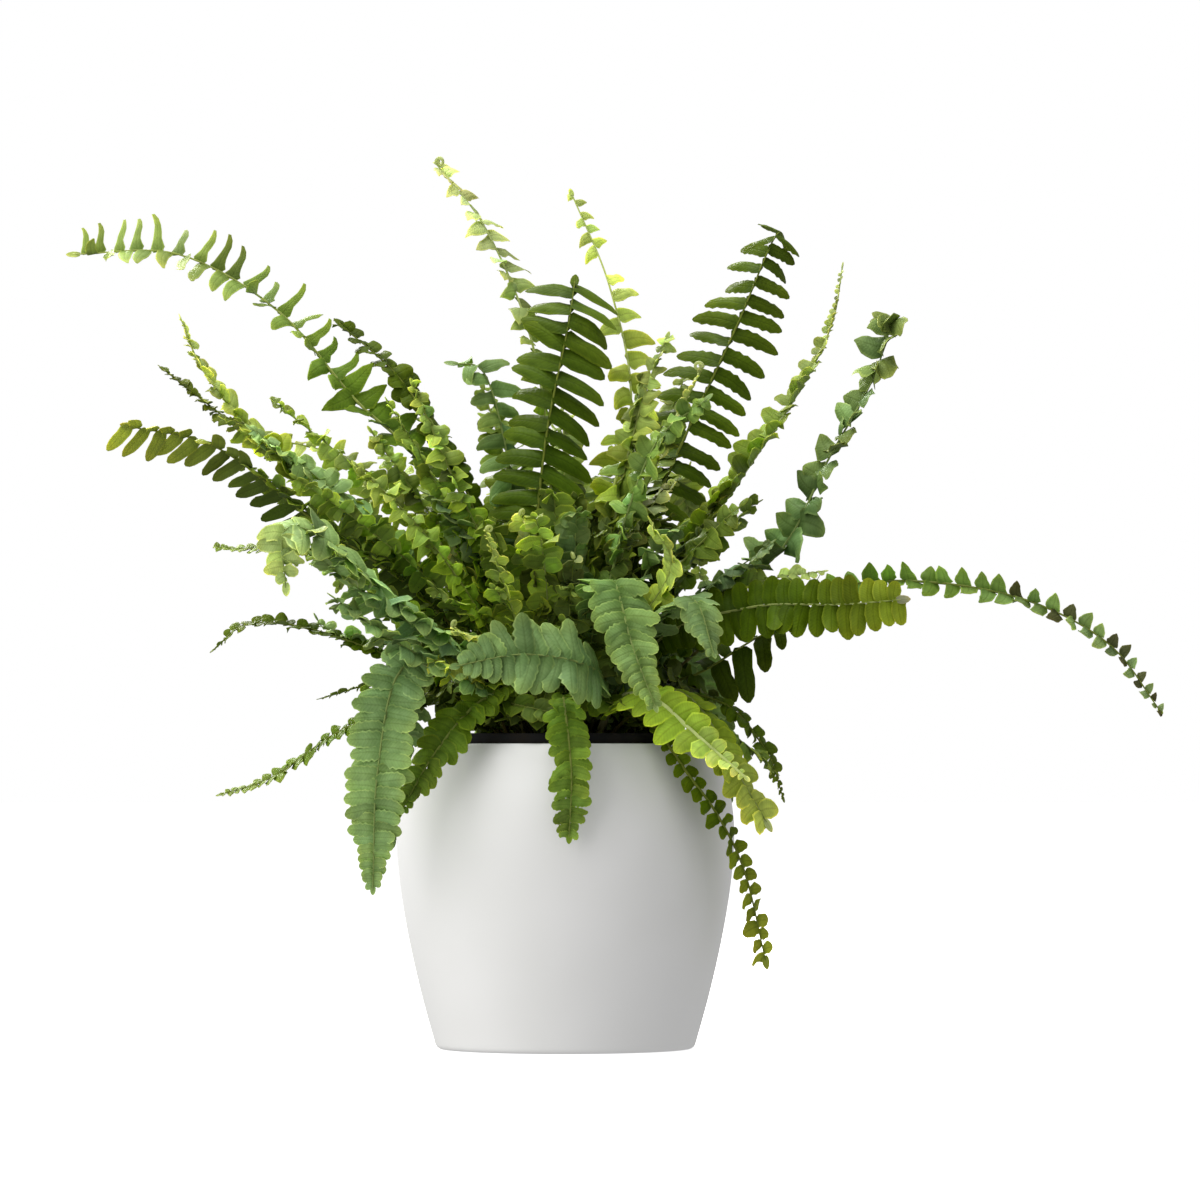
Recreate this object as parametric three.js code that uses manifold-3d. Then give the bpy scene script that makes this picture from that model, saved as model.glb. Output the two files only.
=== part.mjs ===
// A sword fern growing in a black grow pot, which stands inside a plain white cover pot.
// Millimetres, +Z up. The origin is the centre of the cover pot's foot, on the surface it stands on.
// The plant's front faces -Y, and +X is to the right of someone who looks at the front.
// Each frond is one solid: a five-sided midrib with thin leaflets cut back to it on both sides.

import * as THREE from "three";
import { mergeVertices } from "three/addons/utils/BufferGeometryUtils.js";
import Module from "manifold-3d";

const wasm = await Module();
wasm.setup();

// Cover pot: radii and heights of its turned outline.
const POT = {
  height: 134,
  widestRadius: 74.3,
  widestHeight: 93,
  rimRadius: 65,
  footRadius: 56.5,
  footRound: 3.2,
  footCorner: { inward: 0.35, up: 0.3 }, // the middle of the foot's rounding, as shares of it
  outsideHeights: [24, 48, 72, 93, 108, 120, 129],
  insideHeights: [129, 114, 93, 50],
  rimRound: 0.6,
  wall: 2.6,
  floor: 3.6,
  floorInset: 2,
  segments: 36,
};
const FOOT_CURVE = 1.6; // how fast the wall leaves the foot
const SHOULDER_CURVE = 2.1; // how fast the shoulder turns in to the rim

// Grow pot: a thin tapered pot with a lip, which shows just above the cover pot's rim.
const GROW = {
  base: POT.floor + 0.3,
  top: 138.5,
  lipRadius: 61,
  lipHeight: 9,
  lipStep: 1.8,
  baseRadius: 45,
  wall: 1.2,
  floor: 1.6,
  holes: 4,
  holeRadius: 5,
  holeRing: 30,
  holeSides: 8,
  segments: 32,
};

// Soil and the crown, the short stem that the fronds grow round.
const GAP = 0.3;
const SOIL = { middle: 129.5, edge: 127, levelRadius: 41 };
const CROWN = {
  radius: 8.5,
  footShare: 0.55, // radius at its foot, as a share of the widest
  neckShare: 0.62, // radius just under its top
  below: 6, // how far under the soil it is at its widest
  above: 2.5, // and how far over it
  cap: 1.5,
  top: 137,
  depth: 30,
  segments: 10,
};
const CUT_OVERRUN = 1; // how far a hole's cutter reaches past what it cuts

// Feet of the fronds: spots of a sunflower spiral round the crown, each with its hole in the soil.
const SPOT = { first: 13, count: 100, spacing: 3.35, turn: (137.508 * Math.PI) / 180 };
const STEM = { radius: 1.15, side: 0.5, foot: 120.5, holeFloor: 120.2, holeRadius: 1.8, holeSides: 6 };
const STEM_THINNING = 0.45; // how much thinner a midrib is at its tip
const RIB_SIDES = 5;
const SPAN_STEPS = 40; // points on each span of a midrib's curve
const SPACING_STEP = 4; // every fourth of them is enough to tell how near two midribs come
const LEAN_SHARE = 0.48; // how far out a frond stands, as a share of its first bend's reach
const LEAN_LIMIT = 27;

// The bare stalk below the leaflets, as a share of the midrib and in millimetres.
const BARE = { least: 0.24, most: 0.42, length: 46, steps: 3 };
// The end of the midrib past the last leaflets, as a share of it and of the longest leaflets.
const BARE_TIP = { most: 0.05, leafShare: 0.5 };
const CROWDING = 0.32; // how much closer together leaflets get towards the tip

// Leaflets. An outline gives points as shares of the leaflet's length and of the space to the next one.
const LEAF_HALF_THICKNESS = 0.35;
const POINTED_OUTLINE = [[0.84, -0.33], [1, 0.22]];
const ROUNDED_OUTLINE = [[0.7, -0.37], [1, 0.02], [0.76, 0.37]];
const FIRST_LEAFLETS = 0.5; // length of the lowest leaflets against the longest
const FULL_FROM = 0.3; // where the longest begin, as a share of the leafy stretch
const TIP_LOSS = 0.86; // how much shorter the last leaflets are
const TAPER = [0.55, 1.12]; // where the leaflets start and stop getting shorter, unless a frond says it
const SWEEP = (14 * Math.PI) / 180; // leaflets point a little towards the tip
const SAG = 0.24; // how far a leaflet's tip hangs down, as a share of its length
const CLEARANCE = 0.35; // least air between two fronds
const NOTCH_CLEARANCE = 0.12; // least air between the outer edges of two neighbours on one frond
const RIB_CLEARANCE = 2.75; // least distance between the middles of two midribs
const LIFTS = [0, 16, -16, 32, -32, 48, -48, 62]; // turns in degrees that a leaflet tries to come clear
const HIGHEST_LIFT = 75;
const LENGTHS = [1, 0.74, 0.5]; // shares of its length that it tries
const ROUNDED_LEAFLETS = 15.5; // fronds with leaflets at least this long get rounder ones
const POT_CLEARANCE = 1.2;
const RIM_BAND = 4; // how far inside the grow pot's lip leaflets already keep above it
const OWN_RIB_STATIONS = 3; // a leaflet may touch its own midrib within this many stations
const NOTCH_STATIONS = 2; // and shares a notch with leaflets nearer than this

const COLOURS = {
  pot: [0xe9eae8, 0.38],
  growPot: [0x141414, 0.55],
  soil: [0x1d140d, 0.95],
  crown: [0x4a3420, 0.9],
  deep: [0x2f4a17, 0.5],
  mid: [0x4c6b24, 0.55],
  blue: [0x5f8052, 0.6],
  fresh: [0x86a33c, 0.55],
  yellow: [0xa0b848, 0.55],
};

// Fronds. Each gives its tone, the length of its longest leaflets and how many pairs it has. Twist is the
// turn about its midrib and fold the lift of its leaflets, both in degrees at the foot and at the tip. Path
// holds the points that its midrib passes on the way to its tip. Blunt fronds have their own taper. The
// fronds named first keep all their leaflets, and the later ones give way to them.
const FRONDS = [
  {
    name: "front_broad", tone: "blue", leaf: 20, pairs: 8, twist: [-66, -70], fold: [4, 4],
    path: [[17, -44, 158], [8, -76, 168], [-18, -92, 172], [-46, -97, 167]],
  },
  {
    name: "front_centre_hanging", tone: "blue", leaf: 18, pairs: 10, twist: [0, 4], fold: [4, 4],
    path: [[15, -36, 188], [21, -58, 204], [29, -79, 176], [39, -88, 149]],
  },
  {
    name: "front_yellow", tone: "yellow", leaf: 16, pairs: 8, twist: [30, 38], fold: [10, 10],
    path: [[22, -40, 152], [37, -66, 154], [55, -79, 139], [78, -82, 119]],
  },
  {
    name: "front_left_hanging", tone: "blue", leaf: 16, pairs: 13, twist: [-26, -28], fold: [3, 3],
    taper: [0.66, 1.1],
    path: [[-42, -46, 166], [-70, -68, 166], [-80, -79, 122], [-82, -80, 71]],
  },
  {
    name: "front_centre_low", tone: "mid", leaf: 11, pairs: 9, twist: [0, 0], fold: [5, 5], taper: [0.7, 1.2],
    path: [[-1, -42, 152], [0, -72, 150], [3, -84, 122], [2, -84, 94]],
  },
  {
    name: "front_left_low", tone: "mid", leaf: 13, pairs: 8, twist: [-20, -30], fold: [4, 4],
    path: [[-18, -42, 158], [-38, -60, 151], [-57, -69, 128], [-71, -71, 103]],
  },
  {
    name: "centre_big", tone: "deep", leaf: 24, pairs: 14, twist: [0, 0], fold: [-8, -8], taper: [0.9, 1.7],
    path: [[-14, -4, 205], [-9, 5, 266], [1, 16, 318], [4, 36, 336], [5, 62, 330]],
  },
  {
    name: "right_front", tone: "fresh", leaf: 16, pairs: 10, twist: [54, 76], fold: [0, 0],
    taper: [0.85, 1.5],
    path: [[40, -22, 178], [80, -40, 193], [118, -52, 194], [150, -58, 196]],
  },
  {
    name: "right_long", tone: "mid", leaf: 9, pairs: 16, twist: [40, 70], fold: [10, 10],
    path: [[62, 8, 178], [125, 12, 204], [190, 12, 201], [237, 8, 180], [263, 4, 147]],
  },
  {
    name: "right_upper", tone: "blue", leaf: 13, pairs: 11, twist: [24, 34], fold: [24, 24], taper: [1, 1.6],
    path: [[48, -8, 184], [93, -12, 217], [115, -14, 258], [134, -14, 292], [143, -14, 318]],
  },
  {
    name: "right_light_thin", tone: "fresh", leaf: 10, pairs: 11, twist: [6, 10], fold: [40, 40],
    path: [[46, 16, 204], [76, 20, 249], [104, 22, 291], [118, 22, 320], [123, 22, 347]],
  },
  {
    name: "right_dark_arch", tone: "deep", leaf: 20, pairs: 13, twist: [44, 44], fold: [-14, -14],
    taper: [0.75, 1.5],
    path: [[26, 28, 206], [50, 46, 264], [76, 60, 320], [94, 68, 362], [100, 88, 360]],
  },
  {
    name: "centre_light_thin", tone: "yellow", leaf: 16, pairs: 11, twist: [0, 0], fold: [20, 24],
    path: [[16, 20, 222], [29, 32, 284], [20, 38, 336], [2, 44, 381]],
  },
  {
    name: "top_left_light", tone: "fresh", leaf: 14, pairs: 12, twist: [0, 0], fold: [14, 14],
    taper: [0.8, 1.25],
    path: [[-5, 24, 222], [-13, 44, 304], [-34, 54, 361], [-58, 62, 394]],
  },
  {
    name: "left_long", tone: "mid", leaf: 15, pairs: 14, twist: [-20, -42], fold: [16, 36],
    path: [[-52, 8, 240], [-94, 14, 287], [-128, 18, 326], [-172, 22, 351], [-219, 22, 351]],
  },
  {
    name: "left_dark_broad", tone: "deep", leaf: 17, pairs: 11, twist: [40, 46], fold: [-8, -8],
    taper: [0.85, 1.6],
    path: [[-52, -18, 188], [-112, -30, 233], [-152, -34, 263], [-190, -36, 272]],
  },
  {
    name: "left_pale", tone: "yellow", leaf: 13, pairs: 9, twist: [-10, -10], fold: [16, 16],
    path: [[-57, -2, 196], [-112, -8, 246], [-155, -12, 292], [-169, -12, 321]],
  },
  {
    name: "left_near", tone: "blue", leaf: 21, pairs: 7, twist: [-24, -30], fold: [6, 6], taper: [0.7, 1.3],
    path: [[-44, -50, 174], [-78, -78, 198], [-100, -98, 213], [-116, -113, 205]],
  },
  {
    name: "left_inner_curl", tone: "deep", leaf: 10, pairs: 7, twist: [-20, -20], fold: [24, 24],
    taper: [0.75, 1.3],
    path: [[-40, 14, 235], [-70, 22, 291], [-101, 28, 321]],
  },
  {
    name: "left_low_dark", tone: "deep", leaf: 11, pairs: 7, twist: [0, 0], fold: [14, 14],
    path: [[-60, 30, 205], [-120, 38, 254], [-181, 42, 302]],
  },
  {
    name: "left_pale_back", tone: "yellow", leaf: 14, pairs: 7, twist: [-34, -40], fold: [14, 14],
    taper: [0.7, 1.2],
    path: [[-50, 20, 214], [-92, 25, 257], [-142, 27, 272]],
  },
  {
    name: "left_thin_high", tone: "mid", leaf: 6, pairs: 7, twist: [-20, -20], fold: [18, 18],
    path: [[-60, 44, 186], [-105, 54, 217], [-157, 60, 222]],
  },
  {
    name: "left_thin_mid", tone: "deep", leaf: 6, pairs: 7, twist: [-20, -20], fold: [16, 16],
    path: [[-50, 6, 158], [-104, 10, 182], [-139, 12, 187], [-156, 12, 175]],
  },
  {
    name: "left_stub", tone: "deep", leaf: 5, pairs: 5, twist: [0, 0], fold: [16, 16],
    path: [[-48, 28, 154], [-80, 32, 161], [-109, 33, 154]],
  },
  {
    name: "left_low_thin", tone: "mid", leaf: 6, pairs: 7, twist: [-30, -30], fold: [12, 12],
    path: [[-54, 38, 152], [-96, 44, 142], [-131, 47, 119], [-155, 47, 111]],
  },
  {
    name: "right_hanging_dark", tone: "deep", leaf: 8, pairs: 10, twist: [44, 10], fold: [8, 8],
    path: [[34, -40, 152], [54, -53, 140], [69, -53, 106], [80, -45, 78], [87, -36, 40]],
  },
  {
    name: "right_hanging_light", tone: "fresh", leaf: 13, pairs: 7, twist: [16, 20], fold: [4, 4],
    path: [[42, -34, 156], [64, -48, 148], [80, -55, 121], [87, -55, 100]],
  },
  {
    name: "right_low_dark", tone: "deep", leaf: 9, pairs: 7, twist: [20, 20], fold: [8, 8],
    path: [[42, -14, 154], [70, -22, 151], [88, -27, 130], [95, -28, 110]],
  },
  {
    name: "right_dark_leaflets", tone: "deep", leaf: 21, pairs: 7, twist: [56, 60], fold: [4, 4],
    path: [[38, 10, 160], [61, 14, 171], [85, 17, 183], [109, 18, 191]],
  },
  {
    name: "right_top_light", tone: "fresh", leaf: 10, pairs: 6, twist: [20, 24], fold: [18, 18],
    path: [[50, -14, 186], [84, -26, 204], [113, -32, 209]],
  },
  {
    name: "centre_left_blue", tone: "blue", leaf: 15, pairs: 8, twist: [-60, -30], fold: [4, 10],
    taper: [0.8, 1.3],
    path: [[-18, 14, 206], [-26, 20, 262], [-36, 24, 298], [-50, 26, 303]],
  },
  {
    name: "left_mid_upright", tone: "mid", leaf: 14, pairs: 7, twist: [-56, -60], fold: [8, 8],
    path: [[-26, -14, 196], [-50, -20, 252], [-67, -20, 292]],
  },
  {
    name: "left_mid_outer", tone: "mid", leaf: 14, pairs: 7, twist: [-46, -52], fold: [8, 8],
    path: [[-34, -30, 184], [-62, -42, 226], [-91, -46, 255]],
  },
  {
    name: "left_mid_back", tone: "mid", leaf: 14, pairs: 7, twist: [-30, -36], fold: [12, 12],
    path: [[-32, -4, 196], [-62, -4, 238], [-86, -2, 272]],
  },
  {
    name: "left_mid_low", tone: "mid", leaf: 14, pairs: 7, twist: [-30, -36], fold: [8, 8],
    path: [[-44, -32, 172], [-82, -46, 198], [-107, -54, 226]],
  },
  {
    name: "right_centre_blue", tone: "blue", leaf: 14, pairs: 7, twist: [50, 60], fold: [6, 6],
    path: [[20, -22, 206], [38, -34, 262], [62, -40, 284]],
  },
  {
    name: "right_centre_mid", tone: "mid", leaf: 13, pairs: 7, twist: [46, 56], fold: [8, 8],
    path: [[28, -26, 186], [54, -36, 216], [77, -40, 238]],
  },
  {
    name: "right_front_blue", tone: "blue", leaf: 14, pairs: 7, twist: [10, 10], fold: [4, 4],
    path: [[36, -42, 182], [55, -64, 196], [64, -80, 172]],
  },
  {
    name: "centre_right_light", tone: "fresh", leaf: 13, pairs: 7, twist: [20, 20], fold: [18, 18],
    path: [[20, 4, 222], [33, 10, 282], [45, 12, 314]],
  },
  {
    name: "young_centre", tone: "yellow", leaf: 7, pairs: 5, twist: [-30, -30], fold: [20, 20],
    path: [[-20, -40, 184], [-34, -54, 226]],
  },
  {
    name: "young_left", tone: "yellow", leaf: 8, pairs: 5, twist: [-20, -20], fold: [20, 20],
    path: [[-30, -52, 170], [-48, -78, 184]],
  },
  {
    name: "young_right", tone: "fresh", leaf: 7, pairs: 7, twist: [20, 20], fold: [28, 28],
    path: [[22, -12, 206], [43, -18, 264], [60, -20, 298]],
  },
  {
    name: "young_yellow", tone: "yellow", leaf: 10, pairs: 5, twist: [40, 50], fold: [10, 10],
    path: [[30, -44, 182], [46, -56, 210], [38, -62, 228]],
  },
];

// Fronds at the back fan out in three kinds. A point is a pair of reach and height, and a heading is in
// degrees from +X.
const BACK = {
  pairs: 6,
  jitter: 0.05,
  seed: 7,
  kinds: [
    {
      name: "upright", tone: "mid", leaf: 16, fold: 10,
      headings: [54, 70, 91, 114],
      points: [[30, 196], [62, 250], [94, 288]],
    },
    {
      name: "arching", tone: "fresh", leaf: 14, fold: 12,
      headings: [72, 86, 100, 124],
      points: [[44, 190], [98, 234], [160, 246], [198, 214]],
    },
    {
      name: "hanging", tone: "blue", leaf: 15, fold: 4,
      headings: [56, 79, 106, 131],
      points: [[50, 172], [96, 180], [120, 132], [124, 90]],
    },
  ],
};

// A small repeatable random sequence from 0 to 1.
function makeRandom(seed) {
  let state = seed;
  return () => {
    state = (state * 1664525 + 1013904223) % 4294967296;
    return state / 4294967296;
  };
}

function backFronds() {
  const random = makeRandom(BACK.seed);
  const wobble = () => 1 + BACK.jitter * (2 * random() - 1);
  return BACK.kinds.flatMap(({ name, tone, leaf, fold, headings, points }) =>
    headings.map((degrees, i) => {
      const heading = THREE.MathUtils.degToRad(degrees);
      const spread = wobble();
      const path = points.map(([reach, height]) => [
        reach * spread * Math.cos(heading),
        reach * spread * Math.sin(heading),
        height * wobble(),
      ]);
      return {
        name: `back_${name}_${i + 1}`, tone, leaf, pairs: BACK.pairs, twist: [0, 0], fold: [fold, fold], path,
      };
    }),
  );
}

// Solids and booleans.
function solidOf(geometry) {
  const bare = new THREE.BufferGeometry();
  bare.setAttribute("position", geometry.getAttribute("position").clone());
  if (geometry.index) bare.setIndex(geometry.index.clone());
  const merged = mergeVertices(bare, 1e-4);
  return new wasm.Manifold(
    new wasm.Mesh({
      numProp: 3,
      vertProperties: new Float32Array(merged.attributes.position.array),
      triVerts: new Uint32Array(merged.index.array),
    }),
  );
}

function geometryOf(solid) {
  const mesh = solid.getMesh();
  const geometry = new THREE.BufferGeometry();
  geometry.setAttribute("position", new THREE.BufferAttribute(new Float32Array(mesh.vertProperties), 3));
  geometry.setIndex(new THREE.BufferAttribute(new Uint32Array(mesh.triVerts), 1));
  return geometry;
}

// Turns an outline of [radius, height] pairs, from the axis round to the axis, about Z.
function turned(outline, segments) {
  const points = outline.map(([radius, height]) => new THREE.Vector2(radius, height));
  return new THREE.LatheGeometry(points, segments).rotateX(Math.PI / 2);
}

function uprightPrism(x, y, bottom, top, radius, sides) {
  return new THREE.CylinderGeometry(radius, radius, top - bottom, sides)
    .rotateX(Math.PI / 2)
    .translate(x, y, (top + bottom) / 2);
}

// Pots and soil.
function potRadius(height) {
  if (height < POT.widestHeight) {
    const below = 1 - height / POT.widestHeight;
    return POT.widestRadius - (POT.widestRadius - POT.footRadius) * below ** FOOT_CURVE;
  }
  const above = (height - POT.widestHeight) / (POT.height - POT.widestHeight);
  return POT.widestRadius - (POT.widestRadius - POT.rimRadius) * above ** SHOULDER_CURVE;
}

function coverPotGeometry() {
  const outside = [POT.footRound, ...POT.outsideHeights].map((height) => [potRadius(height), height]);
  const inside = POT.insideHeights.map((height) => [potRadius(height) - POT.wall, height]);
  const { inward, up } = POT.footCorner;
  return turned(
    [
      [0, 0],
      [POT.footRadius - POT.footRound, 0],
      [POT.footRadius - POT.footRound * inward, POT.footRound * up],
      ...outside,
      [POT.rimRadius, POT.height - POT.rimRound],
      [POT.rimRadius - POT.wall / 2, POT.height],
      [POT.rimRadius - POT.wall, POT.height - POT.rimRound],
      ...inside,
      [POT.footRadius - POT.wall - POT.floorInset, POT.floor],
      [0, POT.floor],
    ],
    POT.segments,
  );
}

function growPotGeometry() {
  const lipFoot = GROW.top - GROW.lipHeight;
  const bodyTop = GROW.lipRadius - GROW.lipStep;
  const shell = solidOf(
    turned(
      [
        [0, GROW.base],
        [GROW.baseRadius, GROW.base],
        [bodyTop, lipFoot],
        [GROW.lipRadius, lipFoot],
        [GROW.lipRadius, GROW.top],
        [GROW.lipRadius - GROW.wall, GROW.top],
        [bodyTop - GROW.wall, lipFoot],
        [GROW.baseRadius - GROW.wall, GROW.base + GROW.floor],
        [0, GROW.base + GROW.floor],
      ],
      GROW.segments,
    ),
  );
  const drains = Array.from({ length: GROW.holes }, (_, i) => {
    const angle = ((i + 0.5) / GROW.holes) * 2 * Math.PI;
    return solidOf(
      uprightPrism(
        GROW.holeRing * Math.cos(angle),
        GROW.holeRing * Math.sin(angle),
        GROW.base - CUT_OVERRUN,
        GROW.base + GROW.floor + CUT_OVERRUN,
        GROW.holeRadius,
        GROW.holeSides,
      ),
    );
  });
  return geometryOf(drains.reduce((pot, drain) => pot.subtract(drain), shell));
}

// The grow pot's inner radius at a height below its lip.
function growInside(height) {
  const inside = GROW.base + GROW.floor;
  const share = (height - inside) / (GROW.top - GROW.lipHeight - inside);
  return THREE.MathUtils.lerp(GROW.baseRadius, GROW.lipRadius - GROW.lipStep, share) - GROW.wall;
}

function crownOutline(grow) {
  const foot = SOIL.middle - CROWN.depth;
  return [
    [0, foot - grow],
    [CROWN.radius * CROWN.footShare + grow, foot - grow],
    [CROWN.radius + grow, SOIL.middle - CROWN.below],
    [CROWN.radius + grow, SOIL.middle + CROWN.above],
    [CROWN.radius * CROWN.neckShare + grow, CROWN.top - CROWN.cap + grow],
    [0, CROWN.top + grow],
  ];
}

function soilGeometry(feet) {
  const bottom = GROW.base + GROW.floor + GAP;
  const body = solidOf(
    turned(
      [
        [0, bottom],
        [growInside(bottom) - GAP, bottom],
        [growInside(SOIL.edge) - GAP, SOIL.edge],
        [SOIL.levelRadius, SOIL.middle],
        [0, SOIL.middle],
      ],
      GROW.segments,
    ),
  );
  const crownHole = solidOf(turned(crownOutline(GAP), CROWN.segments));
  const holes = feet.map(({ x, y }) =>
    solidOf(uprightPrism(x, y, STEM.holeFloor, SOIL.middle + CUT_OVERRUN, STEM.holeRadius, STEM.holeSides)),
  );
  return geometryOf(holes.reduce((soil, hole) => soil.subtract(hole), body.subtract(crownHole)));
}

// Feet: spots of a sunflower spiral, of which the innermost are left to the crown.
function sunflowerSpots() {
  return Array.from({ length: SPOT.count }, (_, i) => {
    const radius = SPOT.spacing * Math.sqrt(SPOT.first + i);
    const angle = (SPOT.first + i) * SPOT.turn;
    return new THREE.Vector2(radius * Math.cos(angle), radius * Math.sin(angle));
  });
}

// How near the midrib comes to those already standing.
function ribGap(rib, others) {
  const spans = (one) => {
    const points = one.samples.filter((_, i) => i % SPACING_STEP === 0);
    return points.slice(1).map((p, i) => [points[i], p]);
  };
  let least = Infinity;
  for (const other of others) {
    for (const a of spans(rib)) for (const b of spans(other)) least = Math.min(least, edgeGap(a, b));
  }
  return least;
}

// Each frond takes the free spot nearest to where it leans from which its midrib crosses no other.
function plantRibs(fronds) {
  const free = sunflowerSpots();
  const ribs = [];
  for (const { name, path } of fronds) {
    const wanted = new THREE.Vector2(path[0][0], path[0][1]).multiplyScalar(LEAN_SHARE);
    wanted.clampLength(0, LEAN_LIMIT);
    free.sort((a, b) => a.distanceTo(wanted) - b.distanceTo(wanted));
    const chosen = free.findIndex((foot) => ribGap(midrib(foot, path), ribs) >= RIB_CLEARANCE);
    if (chosen < 0) throw new Error(`${name} crosses another midrib wherever it stands`);
    const foot = free.splice(chosen, 1)[0];
    ribs.push({ ...midrib(foot, path), foot });
  }
  return ribs;
}

// A midrib: a Catmull-Rom curve from the foot through the points, which leaves the soil upright.
function midrib(foot, path) {
  const start = new THREE.Vector3(foot.x, foot.y, SOIL.middle);
  const points = [start, ...path.map((p) => new THREE.Vector3(...p))];
  const before = start.clone().setZ(start.z - start.distanceTo(points[1]));
  const last = points[points.length - 1];
  const after = last.clone().multiplyScalar(2).sub(points[points.length - 2]);
  const knots = [before, ...points, after];
  const at = (t) => {
    const span = Math.min(Math.floor(t), points.length - 2);
    const u = t - span;
    const [p0, p1, p2, p3] = knots.slice(span, span + 4);
    return new THREE.Vector3(
      ...["x", "y", "z"].map((axis) => {
        const slopeIn = (p2[axis] - p0[axis]) / 2;
        const slopeOut = (p3[axis] - p1[axis]) / 2;
        const a = 2 * (p1[axis] - p2[axis]) + slopeIn + slopeOut;
        const b = 3 * (p2[axis] - p1[axis]) - 2 * slopeIn - slopeOut;
        return ((a * u + b) * u + slopeIn) * u + p1[axis];
      }),
    );
  };
  const steps = SPAN_STEPS * (points.length - 1);
  const samples = Array.from({ length: steps + 1 }, (_, i) => at((i / steps) * (points.length - 1)));
  const lengths = [0];
  for (let i = 1; i <= steps; i += 1) lengths.push(lengths[i - 1] + samples[i].distanceTo(samples[i - 1]));
  const total = lengths[steps];
  const heading = new THREE.Vector3().subVectors(last, start).setZ(0).normalize();
  const level = new THREE.Vector3(-heading.y, heading.x, 0);
  return { samples, lengths, total, level };
}

// The place and the three directions of a midrib at a share of its length.
function stationAt(rib, share, twist) {
  const wanted = share * rib.total;
  let i = rib.lengths.findIndex((length) => length >= wanted);
  i = Math.max(1, i < 0 ? rib.lengths.length - 1 : i);
  const part = (wanted - rib.lengths[i - 1]) / (rib.lengths[i] - rib.lengths[i - 1]);
  const point = rib.samples[i - 1].clone().lerp(rib.samples[i], part);
  const along = new THREE.Vector3().subVectors(rib.samples[i], rib.samples[i - 1]).normalize();
  const side = rib.level.clone().addScaledVector(along, -rib.level.dot(along)).normalize();
  const turn = THREE.MathUtils.degToRad(THREE.MathUtils.lerp(twist[0], twist[1], share));
  side.applyAxisAngle(along, turn);
  return { point, along, side, face: new THREE.Vector3().crossVectors(along, side), share };
}

// The stem stands upright in its hole whatever the frond does above it.
function footStation(rib, height) {
  const along = new THREE.Vector3(0, 0, 1);
  const side = rib.level.clone();
  const point = rib.samples[0].clone().setZ(height);
  return { point, along, side, face: new THREE.Vector3().crossVectors(along, side), share: 0 };
}

// How long a leaflet is at a share of the leafy stretch, against the longest ones.
function leafletShare(u, taper) {
  const fromFoot = THREE.MathUtils.lerp(FIRST_LEAFLETS, 1, THREE.MathUtils.smoothstep(u, 0, FULL_FROM));
  const toTip = 1 - TIP_LOSS * THREE.MathUtils.smoothstep(u, taper[0], taper[1]);
  return fromFoot * toTip;
}

// Distances, for keeping leaflets clear of each other. A shape is a list of two or three corners.
const edgesOf = (shape) =>
  shape.length === 2 ? [[shape[0], shape[1]]] : shape.map((p, i) => [p, shape[(i + 1) % 3]]);

function edgeGap([p, q], [r, s]) {
  const first = new THREE.Vector3().subVectors(q, p);
  const second = new THREE.Vector3().subVectors(s, r);
  const between = new THREE.Vector3().subVectors(p, r);
  const a = first.dot(first);
  const b = first.dot(second);
  const c = second.dot(second);
  const d = first.dot(between);
  const e = second.dot(between);
  const spread = a * c - b * b;
  const clamp = THREE.MathUtils.clamp;
  let u = spread > 1e-9 ? clamp((b * e - c * d) / spread, 0, 1) : 0;
  const v = clamp((b * u + e) / c, 0, 1);
  u = clamp((b * v - d) / a, 0, 1);
  return p.clone().addScaledVector(first, u).distanceTo(r.clone().addScaledVector(second, v));
}

function pierces([p, q], corners) {
  const direction = new THREE.Vector3().subVectors(q, p);
  const length = direction.length();
  const hit = new THREE.Ray(p, direction.divideScalar(length))
    .intersectTriangle(corners[0], corners[1], corners[2], false, new THREE.Vector3());
  return hit !== null && hit.distanceTo(p) <= length;
}

function shapeGap(a, b) {
  const edgesA = edgesOf(a);
  const edgesB = edgesOf(b);
  if (a.length === 3 && edgesB.some((edge) => pierces(edge, a))) return 0;
  if (b.length === 3 && edgesA.some((edge) => pierces(edge, b))) return 0;
  let least = Infinity;
  for (const one of edgesA) for (const other of edgesB) least = Math.min(least, edgeGap(one, other));
  const toFace = (points, corners) => {
    const face = new THREE.Triangle(...corners);
    for (const p of points) {
      least = Math.min(least, face.closestPointToPoint(p, new THREE.Vector3()).distanceTo(p));
    }
  };
  if (b.length === 3) toFace(a, b);
  if (a.length === 3) toFace(b, a);
  return least;
}

// Everything placed so far: its frond, its place on the frond, a shape and the radius round the shape.
const placed = [];

function place(frond, station, side, shape, radius) {
  const box = new THREE.Box3().setFromPoints(shape).expandByScalar(radius + CLEARANCE);
  placed.push({ frond, station, side, shape, radius, box });
}

function inPots(p) {
  const radius = Math.hypot(p.x, p.y);
  if (p.z < SOIL.middle + POT_CLEARANCE && radius < GROW.lipRadius) return true;
  if (radius > GROW.lipRadius - RIM_BAND && radius < POT.rimRadius + POT_CLEARANCE) {
    return p.z < GROW.top + POT_CLEARANCE;
  }
  return p.z < POT.height && radius >= POT.rimRadius && radius < potRadius(Math.max(p.z, 0)) + POT_CLEARANCE;
}

const DOWN = new THREE.Vector3(0, 0, -1);

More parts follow.
